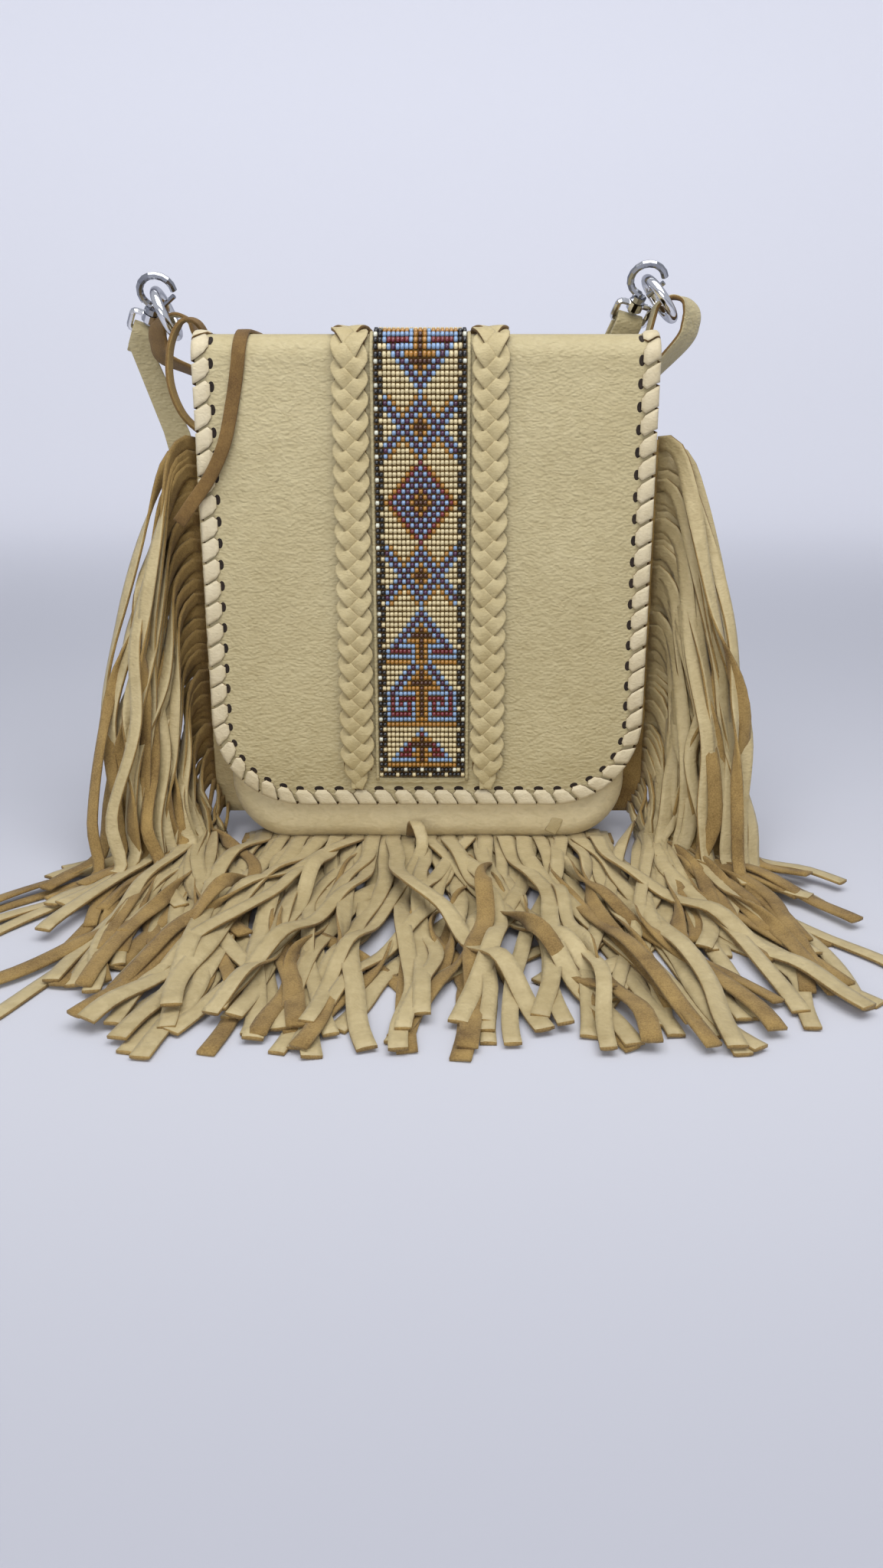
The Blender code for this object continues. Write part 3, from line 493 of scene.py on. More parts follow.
def motif(d, r):
    # Colour of a bead from d, its columns off the middle, and r, its row: every figure is a
    # line, a triangle or a square in |d| and the distance from a centre row.
    d, r = np.broadcast_arrays(np.abs(d), r)
    r = np.where(r > 82, 164 - r, r)
    colour = np.full(d.shape, order.index("cream"))

    def paint(where, name):
        colour[where] = order.index(name)

    def bands(plumAt, where):
        paint(where & (np.abs(d - plumAt) == 1), "blue")
        paint(where & (d == plumAt), "plum")

    def within(value, low, high):
        return (value >= low) & (value <= high)

    # lattices: bands that cross, with a brown lozenge at the crossing
    for centre in (38, 64):
        t = 5 - np.abs(r - centre)
        inside = t >= 0
        paint(inside & ((d == 7 - t) | (d == t + 1)) & (t < 4), "ochre")
        bands(9 - t, inside)
        bands(t - 1, inside)
        paint(inside & (d == t - 3), "ochre")
        paint(inside & (d <= t - 4), "brown")
    # the large lozenge: checkered, with a ringed middle
    far = np.abs(r - 51)
    edge = 7 - far
    paint((edge >= 1) & (d == edge + 1), "ochre")
    paint((edge >= 0) & (d == edge), "maroon")
    field = (edge >= 1) & (d < edge)
    paint(field & ((edge - 1 - d) % 2 == 0), "blue")
    paint(field & ((edge - 1 - d) % 2 == 1), "plum")
    paint(field & (d + far == 2), "ochre")
    paint(field & (d + far < 2), "brown")
    # arrows: u counts rows from the tip to the foot
    for tip, way in ((32, -1), (70, 1)):
        u = (r - tip) * way
        head = within(u, 0, 6)
        bands(u - 1, head & (d <= u))
        paint(head & (d == u - 3), "ochre")
        paint((u == 6) & (d <= 3), "ochre")
        paint((u == 5) & (d <= 2), "brown")
        paint((u == 7) & (d <= 7), "blue")
        paint((u == 7) & (d == 6), "plum")
        paint(within(u, 8, 9) & (d <= 8), "blue")
        paint((u == 8) & within(d, 3, 7), "maroon")
        paint((u == 10) & (d <= 8), "ochre")
        paint((u == 10) & (d == 2), "blue")
        paint(within(u, 4, 9) & (d == 1) & (u != 5), "ochre")
        paint(within(u, 4, 9) & (d == 0), "brown")
    # hooked squares under a peak
    bands(23 - r, within(r, 16, 21))
    paint((r == 17) & (d <= 4), "ochre")
    paint((r == 18) & (d == 3), "ochre")
    paint((r == 18) & (d <= 2), "brown")
    paint(((r == 19) & (d <= 2)) | ((r == 20) & (d == 1)), "ochre")
    square = within(r, 11, 16) & within(d, 2, 8)
    paint(square & ~((r == 16) & (d == 7)), "blue")
    paint(within(r, 12, 15) & ((d == 7) | (d == 3)), "maroon")
    paint(square & (r == 12) & (d >= 3), "maroon")
    paint(square & (r == 15) & (d <= 5), "maroon")
    paint((r == 14) & (d == 5), "maroon")
    paint(square & (d == 8), "blue")
    paint(within(r, 11, 16) & (d == 1), "ochre")
    paint(within(r, 12, 20) & (d == 0), "brown")
    paint(((r == 11) | (r == 21)) & (d == 0), "ochre")
    paint((r == 10) & (d <= 8), "ochre")
    # small foot triangle
    foot = np.round((9 - r) * 1.2)
    paint(within(r, 3, 9) & (d <= foot), "blue")
    paint(within(r, 4, 9) & (d <= foot - 1), "maroon")
    paint(within(r, 4, 7) & (d <= 2), "ochre")
    paint((r == 6) & (d <= 2), "brown")
    paint((r == 5) & (d == 2), "blue")
    paint((r == 3) & (d <= 1), "ochre")
    paint(within(r, 3, 7) & (d == 0), "brown")
    paint((r == 2) & (d <= 8), "ochre")
    # the black border with its dots
    paint((r < 2) | (d > 8), "black")
    paint((d == 9) & (r % 4 == 1), "cream")
    paint((d == 10) & (r % 4 == 3), "white")
    paint((r == 0) & (d % 4 == 2), "cream")
    paint((r == 1) & (d % 4 == 0), "white")
    return colour


def loomedBeads():
    # Barrels lying across the strip: rings of eight points in the plane of v and lift.
    high = heightToRun(loom["low"])
    rows = int((high - loom["top"]) / loom["row"])
    row, column = np.meshgrid(np.arange(rows), np.arange(loom["columns"]), indexing="ij")
    row, column = row.ravel(), column.ravel()
    off = column - (loom["columns"] - 1) / 2
    jitter = dice.uniform(-1, 1, (len(row), 3))
    size = 1 + 0.035 * dice.uniform(-1, 1, len(row))
    x0 = plait["middle"] + off * loom["column"] + 0.05 * mm * jitter[:, 0]
    v0 = high - (row + 0.5) * loom["row"] + 0.07 * mm * jitter[:, 1] \
        + 0.12 * mm * np.sin(row * 0.31) * off / 10
    ends = np.array([-0.5, -0.33, 0.33, 0.5]) * loom["length"]
    wide = np.array([loom["hole"], loom["round"], loom["round"], loom["hole"]])
    a = np.arange(8) * math.pi / 4 + math.pi / 8
    x = x0[:, None, None] + ends[None, :, None]
    v = v0[:, None, None] + (wide[:, None] * np.cos(a))[None] * size[:, None, None]
    base = flapSheet["thick"] / 2 + 0.3 * mm + loom["back"] + loom["round"] * 0.8
    lift = base + (wide[:, None] * np.sin(a))[None] * size[:, None, None]
    # 32 points a bead in four rings: three belts of quads and two flat ends
    k, after = np.arange(8), (np.arange(8) + 1) % 8
    belts = np.concatenate([np.stack([k, after, after + 8, k + 8], -1) + q * 8 for q in range(3)])
    caps = np.stack([k[::-1], 24 + k])
    starts = (np.arange(len(row)) * 32)[:, None, None]
    faces = (belts + starts).reshape(-1, 4).tolist() + (caps + starts).reshape(-1, 8).tolist()
    piece = addPiece("loomedBeads", fold(x, v, lift), faces, [beadGlass])
    table = np.array([(*tints[name], 1.0) for name in order])
    shade = table[motif(off.astype(int), row)]
    shade[:, :3] *= 1 + 0.1 * dice.uniform(-1, 1, (len(row), 1))
    layer = piece.data.color_attributes.new("beadTint", "FLOAT_COLOR", "POINT")
    layer.data.foreach_set("color", np.repeat(shade, 32, 0).ravel().astype("f"))
    return piece, rows


def flapStrip(name, x, start, end, lift, materials, rows=120):
    # A strip up to this lift, laid on the flap between two runs, a little domed.
    v = np.linspace(start, end, rows)[:, None]
    low, high = flapSheet["thick"] / 2 + 0.05 * mm, flapSheet["thick"] / 2 + lift
    dome = np.sin(np.linspace(0, math.pi, len(x)))
    upper = fold(x, v, high + (high - low) * 0.3 * dome)[None]
    return shells(name, upper, fold(x, v, low)[None], materials, edgeSlot=0)


beads, beadRows = loomedBeads()
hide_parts("bead_ground", "bead_border", "bead_arrow_top", "bead_lattice_upper",
            "bead_diamond", "bead_lattice_lower", "bead_arrow_middle", "bead_arrow_low",
            "bead_arrow_foot")
loomHalf = loom["columns"] * loom["column"] / 2
loomTop, loomFoot = loom["top"] - 0.6 * mm, heightToRun(loom["low"])
strips = [flapStrip("beadBacking", plait["middle"] + np.linspace(-1, 1, 9) * loomHalf, loomTop,
                    loomFoot + 0.4 * mm, loom["back"], [cutEdge, cutEdge])]
for name, side in (("beadBindingLeft", -1), ("beadBindingRight", 1)):
    x = plait["middle"] + side * (loomHalf + np.linspace(0.15, 1.75, 5) * mm)
    strips.append(flapStrip(name, x, loomTop, loomFoot + 2 * mm, 1.0 * mm, [buckskin, cutEdge]))
x = plait["middle"] + np.linspace(-1, 1, 9) * (loomHalf + 1.5 * mm)
strips.append(flapStrip("beadBindingFoot", x, loomFoot + 0.7 * mm, loomFoot + 3.4 * mm, 0.9 * mm,
                        [buckskin, cutEdge], 6))
# painted shade: a dark sheet under each plait, seen in the gaps between its strands
for name, side in (("braidGapShadeLeft", -1), ("braidGapShadeRight", 1)):
    x = plait["middle"] + side * plait["side"] + np.linspace(-1, 1, 5) * plait["gapShadeHalf"]
    strips.append(flapStrip(name, x, plait["top"], heightToRun(plait["low"]) - 9 * mm, 0.4 * mm,
                            [cutEdge, cutEdge]))
for piece in [beads] + strips:
    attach(piece, "flap")
print("beads:", beadRows, "rows")

# Pouch under the flap: rolled front, gusset and back.
pouch = {"half": 95 * mm, "front": -24 * mm, "back": 21 * mm, "corner": 30 * mm,
         "roll": 10 * mm, "wall": 1.8 * mm, "frontTop": 208 * mm, "sideTop": 222 * mm,
         "shoulder": 212 * mm, "narrow": 84 * mm, "top": 229.8 * mm, "rollEnd": 29.5 * mm,
         "faceEnd": 29.2 * mm}


def pouchOutline(inset, top):
    # U seen from the front, by the share t of its length: side, arc, base, arc, side.
    corner = np.maximum(pouch["corner"] - inset, 0.2 * mm)
    halfFlat = pouch["half"] - pouch["corner"]
    side, arc, flat = top - pouch["corner"], corner * math.pi / 2, 2 * halfFlat
    s = np.linspace(0, 1, 150) * (2 * side + 2 * arc + flat)
    a = np.clip((s - side) / corner, 0, math.pi / 2)
    b = np.clip((s - side - arc - flat) / corner, 0, math.pi / 2)
    base = np.clip(s - side - arc, 0, flat)
    x = -halfFlat - corner * np.cos(a) + base + corner * np.sin(b)
    z = top - np.minimum(s, side) - corner * np.sin(a) + corner * (1 - np.cos(b)) \
        + np.maximum(s - side - 2 * arc - flat, 0)
    return x, z, unit(np.stack([-np.cos(a) + np.sin(b), -np.sin(a) + (1 - np.cos(b))], -1))


def pouchSheet(name, rings, thick, top, materials, sag, belly=0):
    # Rings of (inset, depth y, tilt) round the same U; a ring is its outline, thickened
    # along a normal that tilts from the front to the outside. The belly swells the base.
    upper, lower = [], []
    for inset, y, tilt in rings:
        x, z, out = pouchOutline(inset, top)
        wave = sag * np.sin(np.linspace(0, 1, len(x)) * 61 + y * 300) * np.sin(y * 140 + 2)
        normal = np.stack([out[:, 0] * math.sin(tilt), np.full(len(x), -math.cos(tilt)),
                           out[:, 1] * math.sin(tilt)], -1)
        bulge = math.sin(math.pi * min(inset / pouch["rollEnd"], 1)) ** 0.7
        swollen = y - belly * ease(-out[:, 1]) * bulge
        middle = np.stack([x, swollen, z], -1) + normal * wave[:, None]
        upper.append(middle + normal * thick / 2)
        lower.append(middle - normal * thick / 2)
    return shells(name, np.array(upper)[None], np.array(lower)[None], materials)


def frontPanel():
    # Insets from the middle out to the rim, then a quarter roll of radius roll - wall / 2.
    rim = pouch["roll"] - pouch["wall"] / 2
    face = pouch["front"] + pouch["wall"] / 2
    rings = [(inset * mm, face, 0) for inset in (29.5, 26, 22, 18, 14)]
    for turn in np.linspace(0, math.pi / 2, 12):
        rings.append((pouch["wall"] / 2 + rim * (1 - math.sin(turn)),
                      face + rim * (1 - math.cos(turn)), turn))
    return pouchSheet("frontRoll", rings, pouch["wall"], pouch["frontTop"],
                      [pouchLeatherPaintedLight, fleshSide], 0.35 * mm, 4 * mm)


def plainPanel(name, half, low, high, y, thick, bow, material):
    # A flat sheet with a faint double wave, from x and z on a grid.
    u, w = np.linspace(-1, 1, 60)[None, :], np.linspace(0, 1, 60)[:, None]
    z = low + (high - low) * w + 0 * u
    x = half(z) * u
    depth = y + bow * np.sin(u * 4 + w * 3) * np.sin(w * 7 - u * 2) \
        * ease((1 - np.abs(u)) * 6) * ease((1 - w) * 9) * ease(w * 9)
    upper = np.stack([x, depth - thick / 2, z], -1)[None]
    lower = np.stack([x, depth + thick / 2, z], -1)[None]
    return shells(name, upper, lower, [material, material], edgeSlot=0)


def seamAt(z):
    # the pouch's half width at a height: straight, then round the lower corner
    corner = pouch["corner"]
    low = np.clip(corner - z, 0, corner)
    return pouch["half"] - corner + np.sqrt(corner ** 2 - low ** 2)


def backHalf(z):
    # the back is narrower above the ears
    shoulder = ease((z - pouch["shoulder"]) / (12 * mm))
    return seamAt(z) - (pouch["half"] - pouch["narrow"]) * shoulder


rollPiece = frontPanel()
facePiece = plainPanel("frontFace", lambda z: np.full_like(z, pouch["half"] - pouch["faceEnd"]),
                       pouch["faceEnd"], pouch["frontTop"],
                       pouch["front"] + pouch["wall"] / 2 + 0.04 * mm, pouch["wall"], 0,
                       pouchLeatherPaintedLight)
gussetStart = pouch["front"] + pouch["roll"] + 0.3 * mm
gussetRings = [(pouch["wall"] / 2, y, math.pi / 2)
               for y in np.linspace(gussetStart, pouch["back"] - 0.3 * mm, 12)]
gussetPiece = pouchSheet("gussetBand", gussetRings, pouch["wall"], pouch["sideTop"],
                         [pouchLeatherPaintedLight, fleshSide], 0.25 * mm)
backPiece = plainPanel("backPanel", backHalf, 0.0, pouch["top"], pouch["back"] + 1.1 * mm,
                       2.2 * mm, 0.3 * mm, pouchLeatherPaintedLight)
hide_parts("front_panel")
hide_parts("front_panel")
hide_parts("gusset")
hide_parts("back_panel")
for piece in (rollPiece, facePiece, gussetPiece, backPiece):
    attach(piece, "bag")
print("pouch made")

# Fringe: cut strips with a pale grain side and a brown flesh side.
# Above lowClear the side strips keep outside the flap's sweep; beyond spread they draw in.
fringe = {"length": 212 * mm, "wide": 5.8 * mm, "thick": 1.5 * mm, "side": 58, "foot": 78,
          "sideTop": 186 * mm, "sideLow": 12 * mm, "stand": 11.5 * mm, "seam": -6 * mm,
          "footHalf": 87 * mm, "floor": 0.85 * mm, "loop": 35, "layers": 4, "clear": 105.5 * mm,
          "lowClear": 22 * mm, "spread": 175 * mm, "sideSteps": 7, "footSteps": 9}


def layStrips(name, routes, lengths, widths, habits, starts, materials):
    # A strip along each route: arc length cut to the strip's own, the width turned about
    # the route by an angle that runs from upright at the seam to flat on the floor.
    rows = 40
    share = np.linspace(0, 1, rows)
    upper, lower = [], []
    for route, length, wide, habit, start in zip(routes, lengths, widths, habits, starts):
        turned, turnAt, wobble, rate, cupping = habit
        fine = curve(route, 260)
        run = np.concatenate([[0], np.cumsum(np.linalg.norm(np.diff(fine, axis=0), axis=1))])
        at = share * min(length, run[-1])
        path = np.stack([np.interp(at, run, fine[:, k]) for k in range(3)], -1)
        along = unit(np.gradient(path, axis=0))
        ahead = path[rows * 3 // 4] - path[0]
        flat = unit((along + ahead * 6) * [1, 1, 0])
        level = np.stack([-flat[:, 1], flat[:, 0], np.zeros(rows)], -1)
        level = unit(level - (level * along).sum(-1, keepdims=True) * along)
        upright = np.cross(along, level)
        angle = start * (1 - ease(share / 0.38)) \
            + turned * math.pi * ease((share - turnAt) / 0.3) \
            + wobble * np.sin(share * rate + turnAt * 9) * ease(share * 4) * (1 - 0.7 * share)
        across = level * np.cos(angle)[:, None] + upright * np.sin(angle)[:, None]
        normal = np.cross(along, across)
        w = np.array([-1, -0.45, 0.45, 1])
        body = path[:, None] + across[:, None] * (w * wide / 2)[None, :, None]
        cup = (0.3 * mm * cupping * (w ** 2 - 0.5))[None, :, None] * normal[:, None]
        profile = np.array([0.75, 1, 1, 0.75])[None, :, None]
        half = fringe["thick"] / 2 * profile * normal[:, None]
        top, under = body + cup + half, body + cup - half
        lowest = np.minimum(top[..., 2], under[..., 2]).min(1)
        raised = np.maximum(0.15 * mm - lowest, 0)
        eased = np.convolve(np.pad(raised, 2, "edge"), np.ones(5) / 5, "valid")
        raised = np.maximum(raised, eased)
        top[..., 2] += raised[:, None]
        under[..., 2] += raised[:, None]
        upper.append(top)
        lower.append(under)
    return shells(name, np.array(upper), np.array(lower), materials)


def stripHabits(count, chance):
    # each strip's flip, where it turns, its wobble, the wobble's rate and its cupping
    turned = (dice.random(count) < chance) * dice.choice([-1, 1], count)
    return np.stack([turned, dice.uniform(0.1, 0.6, count), dice.uniform(0.1, 0.6, count),
                     dice.uniform(4, 11, count), dice.uniform(-1, 1, count)], -1)


def headed(angle):
    # a level direction, at an angle outwards from the front
    return np.array([math.sin(angle), -math.cos(angle), 0])


def sideRoutes(sign):
    # From the seam outwards, over and down in a slack fall, then forward on the floor
    # in a heading that bends towards the front.
    count = fringe["side"]
    routes = []
    for k in range(count):
        share = k / (count - 1)
        z = fringe["sideTop"] + (fringe["sideLow"] - fringe["sideTop"]) * share
        out = math.radians(dice.uniform(38, 82) * (1 - 0.3 * share)
                           - 40 * ease((share - 0.7) / 0.3))
        heading = math.radians((56 * (1 - share) ** 0.8 - 16) * dice.uniform(0.5, 1.05)
                               + dice.normal(0, 5))
        land = (14 + 66 * (1 - share)) * dice.uniform(0.5, 1.2) * mm
        bend = math.radians(dice.uniform(-12, 42)) * (0.4 + 0.6 * (1 - share))
        outWay, way = headed(out), headed(heading)
        root = np.array([seamAt(z) + fringe["stand"] - 1 * mm, fringe["seam"], z])
        slack = min(1.0, z / (120 * mm))
        floor = fringe["floor"] + dice.integers(0, 4) * 1.5 * mm
        knots = [root, root + outWay * 6 * mm + [0, 0, 0.5 * mm],
                 root + outWay * (11 + 5 * slack) * mm - [0, 0, 9 * mm * slack + 2 * mm]]
        touch = root * [1, 1, 0] + way * land + [4 * mm, 0, floor + 1 * mm]
        for f in (0.3, 0.55, 0.8):
            mid = knots[2] * (1 - f) + touch * f
            mid[2] = knots[2][2] * (1 - f) ** 1.15 + touch[2] * f
            belly = math.sin(math.pi * f) * dice.uniform(1, 15) * mm * slack
            knots.append(mid + outWay * belly + dice.normal(0, 1.2 * mm, 3) * [1, 1, 0])
        knots.append(touch)
        spot, turn = touch.copy(), heading
        for step in range(fringe["sideSteps"]):
            turn -= bend / fringe["sideSteps"]
            turn += math.radians(dice.normal(0, 9))
            spot = spot + headed(turn) * 30 * mm
            rise = max(0.0, dice.normal(0.6, 1.2)) * mm if step < 5 else 0
            knots.append(np.array([spot[0], spot[1], floor * (1 - step / 9) + rise]))
        route = np.array(knots)
        clear = np.where(route[:, 2] > fringe["lowClear"], fringe["clear"], 0)
        route[:, 0] = np.maximum(route[:, 0], clear)
        wide = np.maximum(route[:, 0] - fringe["spread"], 0)
        route[:, 0] -= wide - 24 * mm * np.tanh(wide / (32 * mm))
        routes.append(route * [sign, 1, 1])
    return routes


def footRoutes():
    # From under the front roll forward on the floor: a fan with wandering headings,
    # in layers, each lying over the one below.
    count, steps = fringe["foot"], fringe["footSteps"]
    routes = []
    for k in range(count):
        layer = k % fringe["layers"]
        share = (k + 0.5) / count * 2 - 1
        x = share * fringe["footHalf"] + dice.normal(0, 0.6 * mm)
        turn = math.radians(11 * share + dice.normal(0, 7))
        height = fringe["floor"] + 1.3 * mm * layer
        low = fringe["floor"] + 0.6 * mm * layer
        knots = [np.array([x, -15 * mm, low]), np.array([x, -27 * mm, low])]
        spot = np.array([x, -36 * mm, 0])
        for step in range(steps):
            rise = abs(dice.normal(0, 2.6)) * mm * math.sin(math.pi * (step + 0.5) / steps) \
                * (0.35 + 0.5 * layer)
            knots.append(np.array([spot[0], spot[1], height * (1 - 0.5 * step / steps) + rise]))
            turn += math.radians(dice.normal(0, 9)) - (turn - math.radians(13 * share)) * 0.15
            spot = spot + headed(turn) * 25 * mm
        if k == fringe["loop"]:
            knots[1:5] = [knots[0] + np.array(step) * mm for step in
                          ((0, -10, 1), (1, -19, 10), (3, -26, 12), (5, -36, 3))]
        routes.append(np.array(knots))
    return routes


def header(name, inner, outer, thick):
    # The uncut border that the strips hang from, sewn into the seam.
    share = np.linspace(0, 1, 5)[None, :, None]
    middle = inner[:, None] * (1 - share) + outer[:, None] * share
    normal = unit(np.cross(np.gradient(middle, axis=0), np.gradient(middle, axis=1)))
    half = normal * thick / 2
    return shells(name, (middle + half)[None], (middle - half)[None], [stripLeather, fleshSide])


def makeFringe():
    pieces = {}
    for name, sign in (("fringeLeft", -1), ("fringeRight", 1)):
        count = fringe["side"]
        pieces[name] = layStrips(
            name, sideRoutes(sign), fringe["length"] * dice.uniform(0.92, 1.1, count),
            fringe["wide"] * dice.uniform(0.9, 1.2, count), stripHabits(count, 0.45),
            np.full(count, math.pi / 2), [stripLeather, fleshSide])
        z = np.linspace(fringe["sideLow"] - 2 * mm, fringe["sideTop"] + 2 * mm, 40)
        inner = np.stack([sign * (seamAt(z) + 0.3 * mm), np.full(40, fringe["seam"]), z], -1)
        outer = inner + np.array([sign * 11.7 * mm, 0, 0])
        pieces["header" + name[6:]] = header("header" + name[6:], inner, outer, 1.5 * mm)
    count = fringe["foot"]
    pieces["fringeFoot"] = layStrips(
        "fringeFoot", footRoutes(), fringe["length"] * dice.uniform(0.9, 1.02, count),
        fringe["wide"] * dice.uniform(0.95, 1.3, count), stripHabits(count, 0.36),
        np.zeros(count), [stripLeather, fleshSide])
    x = np.linspace(-fringe["footHalf"] - 3 * mm, fringe["footHalf"] + 3 * mm, 60)
    inner = np.stack([x, np.full(60, -17 * mm), np.full(60, 1.2 * mm)], -1)
    outer = inner + np.array([0, -12 * mm, 0])
    pieces["headerFoot"] = header("headerFoot", inner, outer, 1.6 * mm)
    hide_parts("fringe_left")
    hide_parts("fringe_right")
    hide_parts("fringe_lower", "fringe_upper")
    for piece in pieces.values():
        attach(piece, "bag")


makeFringe()
print("fringe made:", 2 * fringe["side"] + fringe["foot"], "strips")

# Thongs, ears, rings, hooks and the strap. Each ear: its side, its hole and its ring's lean.
hardware = {"earWide": 12 * mm, "earThick": 2 * mm, "earLoop": 9 * mm, "ring": 10.4 * mm,
            "ringWire": 2.3 * mm, "shoulder": 212 * mm, "wall": 95.3 * mm}
ears = {"Right": (1, (113 * mm, 20 * mm, 241 * mm), 37),
        "Left": (-1, (-116 * mm, 20 * mm, 233.5 * mm), 23.5)}


def band(name, path, across, wide, thick, materials):
    # A flat thong: its route, the direction of its width, a softly crowned section.
    along = unit(np.gradient(path, axis=0))
    across = unit(across - (across * along).sum(-1, keepdims=True) * along)
    normal = np.cross(along, across)
    w = np.array([-1, -0.88, -0.4, 0.4, 0.88, 1])
    bulge = np.array([0.55, 0.9, 1, 1, 0.9, 0.55])[None, :, None] * thick / 2
    reach = w * np.broadcast_to(wide, (len(path), 1)) / 2
    body = path[:, None] + across[:, None] * reach[..., None]
    return shells(name, (body + normal[:, None] * bulge)[None],
                  (body - normal[:, None] * bulge)[None], materials)


def flapThong():
    # Knots as (distance in from the flap's left edge, run, lift), smoothed, then folded.
    low = flapSheet["thick"] / 2 + 1.2 * mm
    knots = np.array([(20.6, 10, 0), (20.6, 40, 0), (18.6, 58, 0), (15.6, 75, 0.4),
                      (11.6, 92, 2.4), (4.6, 106, 2.8), (-4.4, 118, 2.7), (-10.4, 126, 2.4)])
    flat = curve(knots * mm + [0, 0, low], 70)
    x, v, lift = flat[:, 0] - flapSheet["half"], flat[:, 1], flat[:, 2]
    path = fold(x, v, lift)
    normal = fold(x, v, lift + 1 * mm) - path
    return band("flapThong", path, np.cross(np.gradient(path, axis=0), normal), 5.8 * mm,
                1.7 * mm, [fleshSide, cutEdge])


def ringThong():
    corner = np.array([-95 * mm, 0, hardware["shoulder"]])
    spots = np.array([(-2.2, 8, 0), (-3, 6, 14), (-6.5, 0, 25), (-13, -6, 26), (-18, -9, 16),
                      (-19, -10, 1), (-15, -9, -12), (-8, -6, -20), (-2, 0, -24)]) * mm
    path = curve(corner + spots, 60)
    return band("ringThong", path, np.array([[0.25, 1, 0.1]]), 5.6 * mm, 1.7 * mm,
                [fleshSide, cutEdge])


def laceTail():
    y = flapSheet["face"] + 1.1 * mm + 2.1 * mm
    knots = [(68 * mm, y, 30 * mm), (64 * mm, y, 18 * mm), (61.5 * mm, y - 1.2 * mm, 11 * mm),
             (59 * mm, y - 0.6 * mm, 6 * mm)]
    return band("laceTail", curve(knots, 20), np.array([[2.7, 0, -1.1]]), 5.6 * mm, 1.0 * mm,
                [stripLeather, cutEdge])


def earTab(side):
    # up the seam, round the ring in a loop and back down outside
    sign, hole, _ = ears[side]
    inner = hardware["wall"] + hardware["earThick"] / 2
    outer = inner + hardware["earThick"] + 0.6 * mm
    top = hardware["shoulder"]
    knots = [(inner, top - 20 * mm), (inner, top - 5 * mm), (inner + 2 * mm, top + 4 * mm)]
    for degrees in (178, 140, 100, 60, 20, -15):
        a = math.radians(degrees)
        knots.append((abs(hole[0]) + hardware["earLoop"] * math.cos(a),
                      hole[2] + hardware["earLoop"] * math.sin(a)))
    knots += [(abs(hole[0]) + 5.5 * mm, hole[2] - 10 * mm),
              (outer + 5 * mm, top + 3 * mm), (outer, top - 7 * mm), (outer, top - 20 * mm)]
    path = curve([(sign * x, hole[1], z) for x, z in knots], 110)
    share = np.linspace(0, 1, 110)
    turn = (ease((share - 0.35) * 4) * ease((1 - share) * 4))[:, None]
    across = unit(np.array([[0, 1, 0]]) * (1 - 0.3 * turn) + np.array([[sign, 0, 0]]) * 0.62 * turn)
    return band("ear" + side, path, across, hardware["earWide"] * (1 + 0.25 * turn),
                hardware["earThick"], [buckskin, cutEdge])


def ringLoop(side):
    # Torus: a circle of wire carried round the ring's own circle, which leans on its hook.
    _, hole, lean = ears[side]
    lean = np.array([-math.sin(math.radians(lean)), 0, math.cos(math.radians(lean))])
    centre = np.array(hole) + lean * hardware["ring"]
    cross = np.array([0, 1, 0])
    around, about = 72, 20
    a = np.linspace(0, 2 * math.pi, around, endpoint=False)[:, None]
    b = np.linspace(0, 2 * math.pi, about, endpoint=False)[None]
    radial = lean * np.cos(a)[..., None] + cross * np.sin(a)[..., None]
    wire = hardware["ringWire"]
    points = centre + radial * (hardware["ring"] + wire * np.cos(b))[..., None] \
        + np.cross(lean, cross) * (wire * np.sin(b))[..., None]
    here, j = np.meshgrid(np.arange(around) * about, np.arange(about), indexing="ij")
    there, beside = (here + about) % (around * about), (j + 1) % about
    faces = np.stack([here + j, there + j, there + beside, here + beside], -1).reshape(-1, 4)
    return addPiece("ringLoop" + side, points, faces.tolist(), [chrome])


def softened(node, name, material, edge):
    # A CAD solid's own shape with its triangles paired and its edges rounded.
    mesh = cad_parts[node].data.copy()
    mesh.name = name
    work = bmesh.new()
    work.from_mesh(mesh)
    bmesh.ops.remove_doubles(work, verts=work.verts, dist=1e-6)
    bmesh.ops.join_triangles(work, faces=work.faces, angle_face_threshold=0.35,
                             angle_shape_threshold=3.1)
    work.to_mesh(mesh)
    work.free()
    dress(mesh, material)
    mesh.polygons.foreach_set("material_index", np.zeros(len(mesh.polygons), "i"))
    piece = addObject(name, mesh)
    bevel = piece.modifiers.new("edges", "BEVEL")
    bevel.width, bevel.segments, bevel.angle_limit = edge, 3, math.radians(50)
    mesh.shade_smooth()
    return piece


for piece, node, body, slot in ((flapThong(), "flap_thong", "flap", "suede"),
                                (ringThong(), "ring_thong", "bag", "suede"),
                                (laceTail(), "lace_tail", "flap", "lace")):
    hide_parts(node)
    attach(piece, body)
for side in ("Left", "Right"):
    tab, ring = earTab(side), ringLoop(side)
    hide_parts("ear_" + side.lower())
    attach(tab, "bag")
    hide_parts("ring_" + side.lower())
    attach(ring, "ring_" + side.lower())
strap = softened("strap", "shoulderStrap", buckskin, 0.5 * mm)
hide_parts("strap")
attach(strap, "bag")

# The hooks, their gates, the snap and the strap's eyes stay CAD solids with a new finish.
for name in ("hook_left", "hook_right", "gate_left", "gate_right"):
    dress(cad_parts[name].data, darkChrome)
for name in ("snap_socket", "snap_stud", "strap_eye_left", "strap_eye_right"):
    dress(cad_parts[name].data, chrome)
print("hardware made")

# Camera: 27.6 mm lens, a good half metre in front, looking down by 18 degrees.
view = {"lens": 27.6, "from": (0.0066, -0.574, 0.206), "pitch": 17.8}
data = bpy.data.cameras.new("camera")
data.lens, data.sensor_fit, data.sensor_height = view["lens"], "VERTICAL", 36
camera = addObject("camera", data)
camera.rotation_euler = (math.radians(90 - view["pitch"]), 0, 0)
camera.location = view["from"]
bpy.context.scene.camera = camera


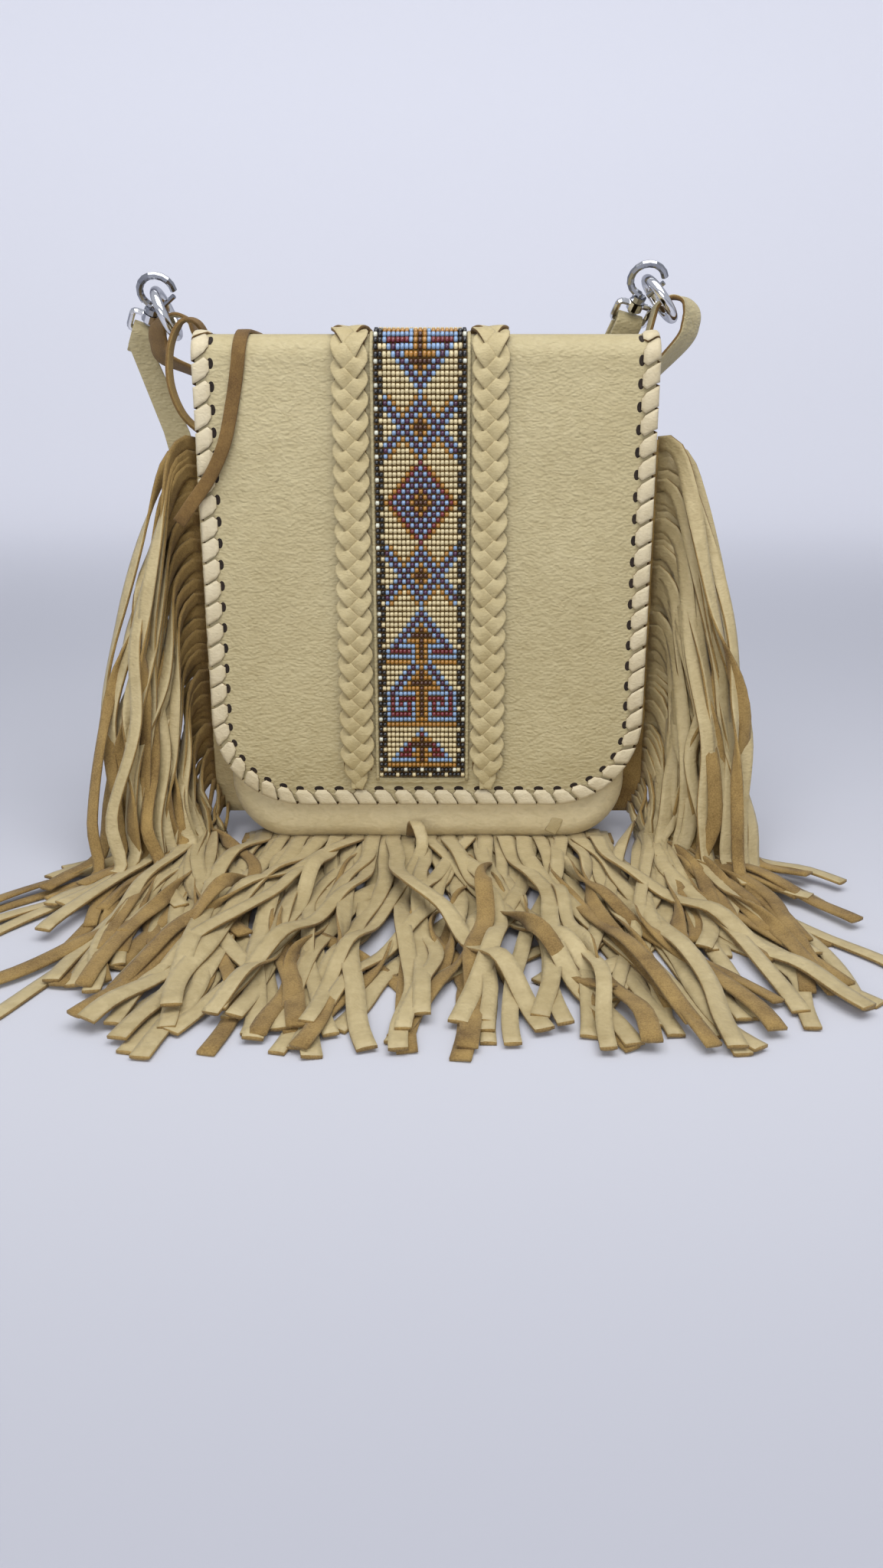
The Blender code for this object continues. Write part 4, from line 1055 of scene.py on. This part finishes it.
def backdrop():
    # Floor and wall in one sheet: flat, a quarter turn behind the purse, then upright.
    near, wall, bend, high, side = -4.0, 1.9, 0.6, 3.5, 4.0
    a = np.linspace(0, math.pi / 2, 16)
    y = np.concatenate([[near], wall - bend + bend * np.sin(a), [wall]])
    z = np.concatenate([[0], bend - bend * np.cos(a), [high]])
    x = np.array([-side, side])
    points = np.stack(np.broadcast_arrays(x[None], y[:, None], z[:, None]), -1)
    k = np.arange(len(y) - 1) * 2
    faces = np.stack([k, k + 1, k + 3, k + 2], -1)
    finish = Finish("backdrop")
    # Paler up the wall and a little darker towards the viewer: painted light and painted shade. Far
    # from the lamps the camera sees the paper glow a little, painted light which lights nothing.
    rise = finish.node("ShaderNodeSeparateXYZ", None, {0: finish.place()}, out=2)
    depth = finish.node("ShaderNodeSeparateXYZ", None, {0: finish.place()}, out=1)
    tone = finish.blend(finish.ramp(rise, 0.1, 0.8), linear(198, 199, 207), linear(222, 223, 231))
    tone = finish.blend(finish.ramp(depth, -0.17, -0.5), tone, linear(171, 172, 181))
    seen = finish.node("ShaderNodeLightPath")
    paintedGlow = finish.blend(finish.ramp(depth, 0.1, 1.7) * seen, (0, 0, 0), linear(162, 163, 171))
    paper = finish.set(Base_Color=tone, Roughness=0.85, Emission_Color=paintedGlow, Emission_Strength=1.0)
    piece = addPiece("backdrop", points, faces.tolist(), [paper])


def lamp(name, place, aim, size, power):
    data = bpy.data.lights.new(name, "AREA")
    data.shape, data.size, data.size_y = "RECTANGLE", size[0], size[1]
    data.energy = power
    obj = addObject(name, data)
    obj.location = place
    obj.rotation_euler = (Vector(aim) - Vector(place)).to_track_quat("-Z", "Y").to_euler()


backdrop()
lamp("ceiling", (0.08, -0.4, 1.0), (0, 0, 0.12), (1.1, 0.8), 9.5)
lamp("front", (-0.3, -1.3, 0.35), (0, 0, 0.05), (0.9, 0.4), 4.7)
world = bpy.data.worlds.new("studio")
world.use_nodes = True
sky = world.node_tree.nodes["Background"].inputs
sky["Color"].default_value, sky["Strength"].default_value = (0.86, 0.9, 1, 1), 0.5
bpy.context.scene.world = world
bpy.context.scene.view_settings.view_transform = "Standard"
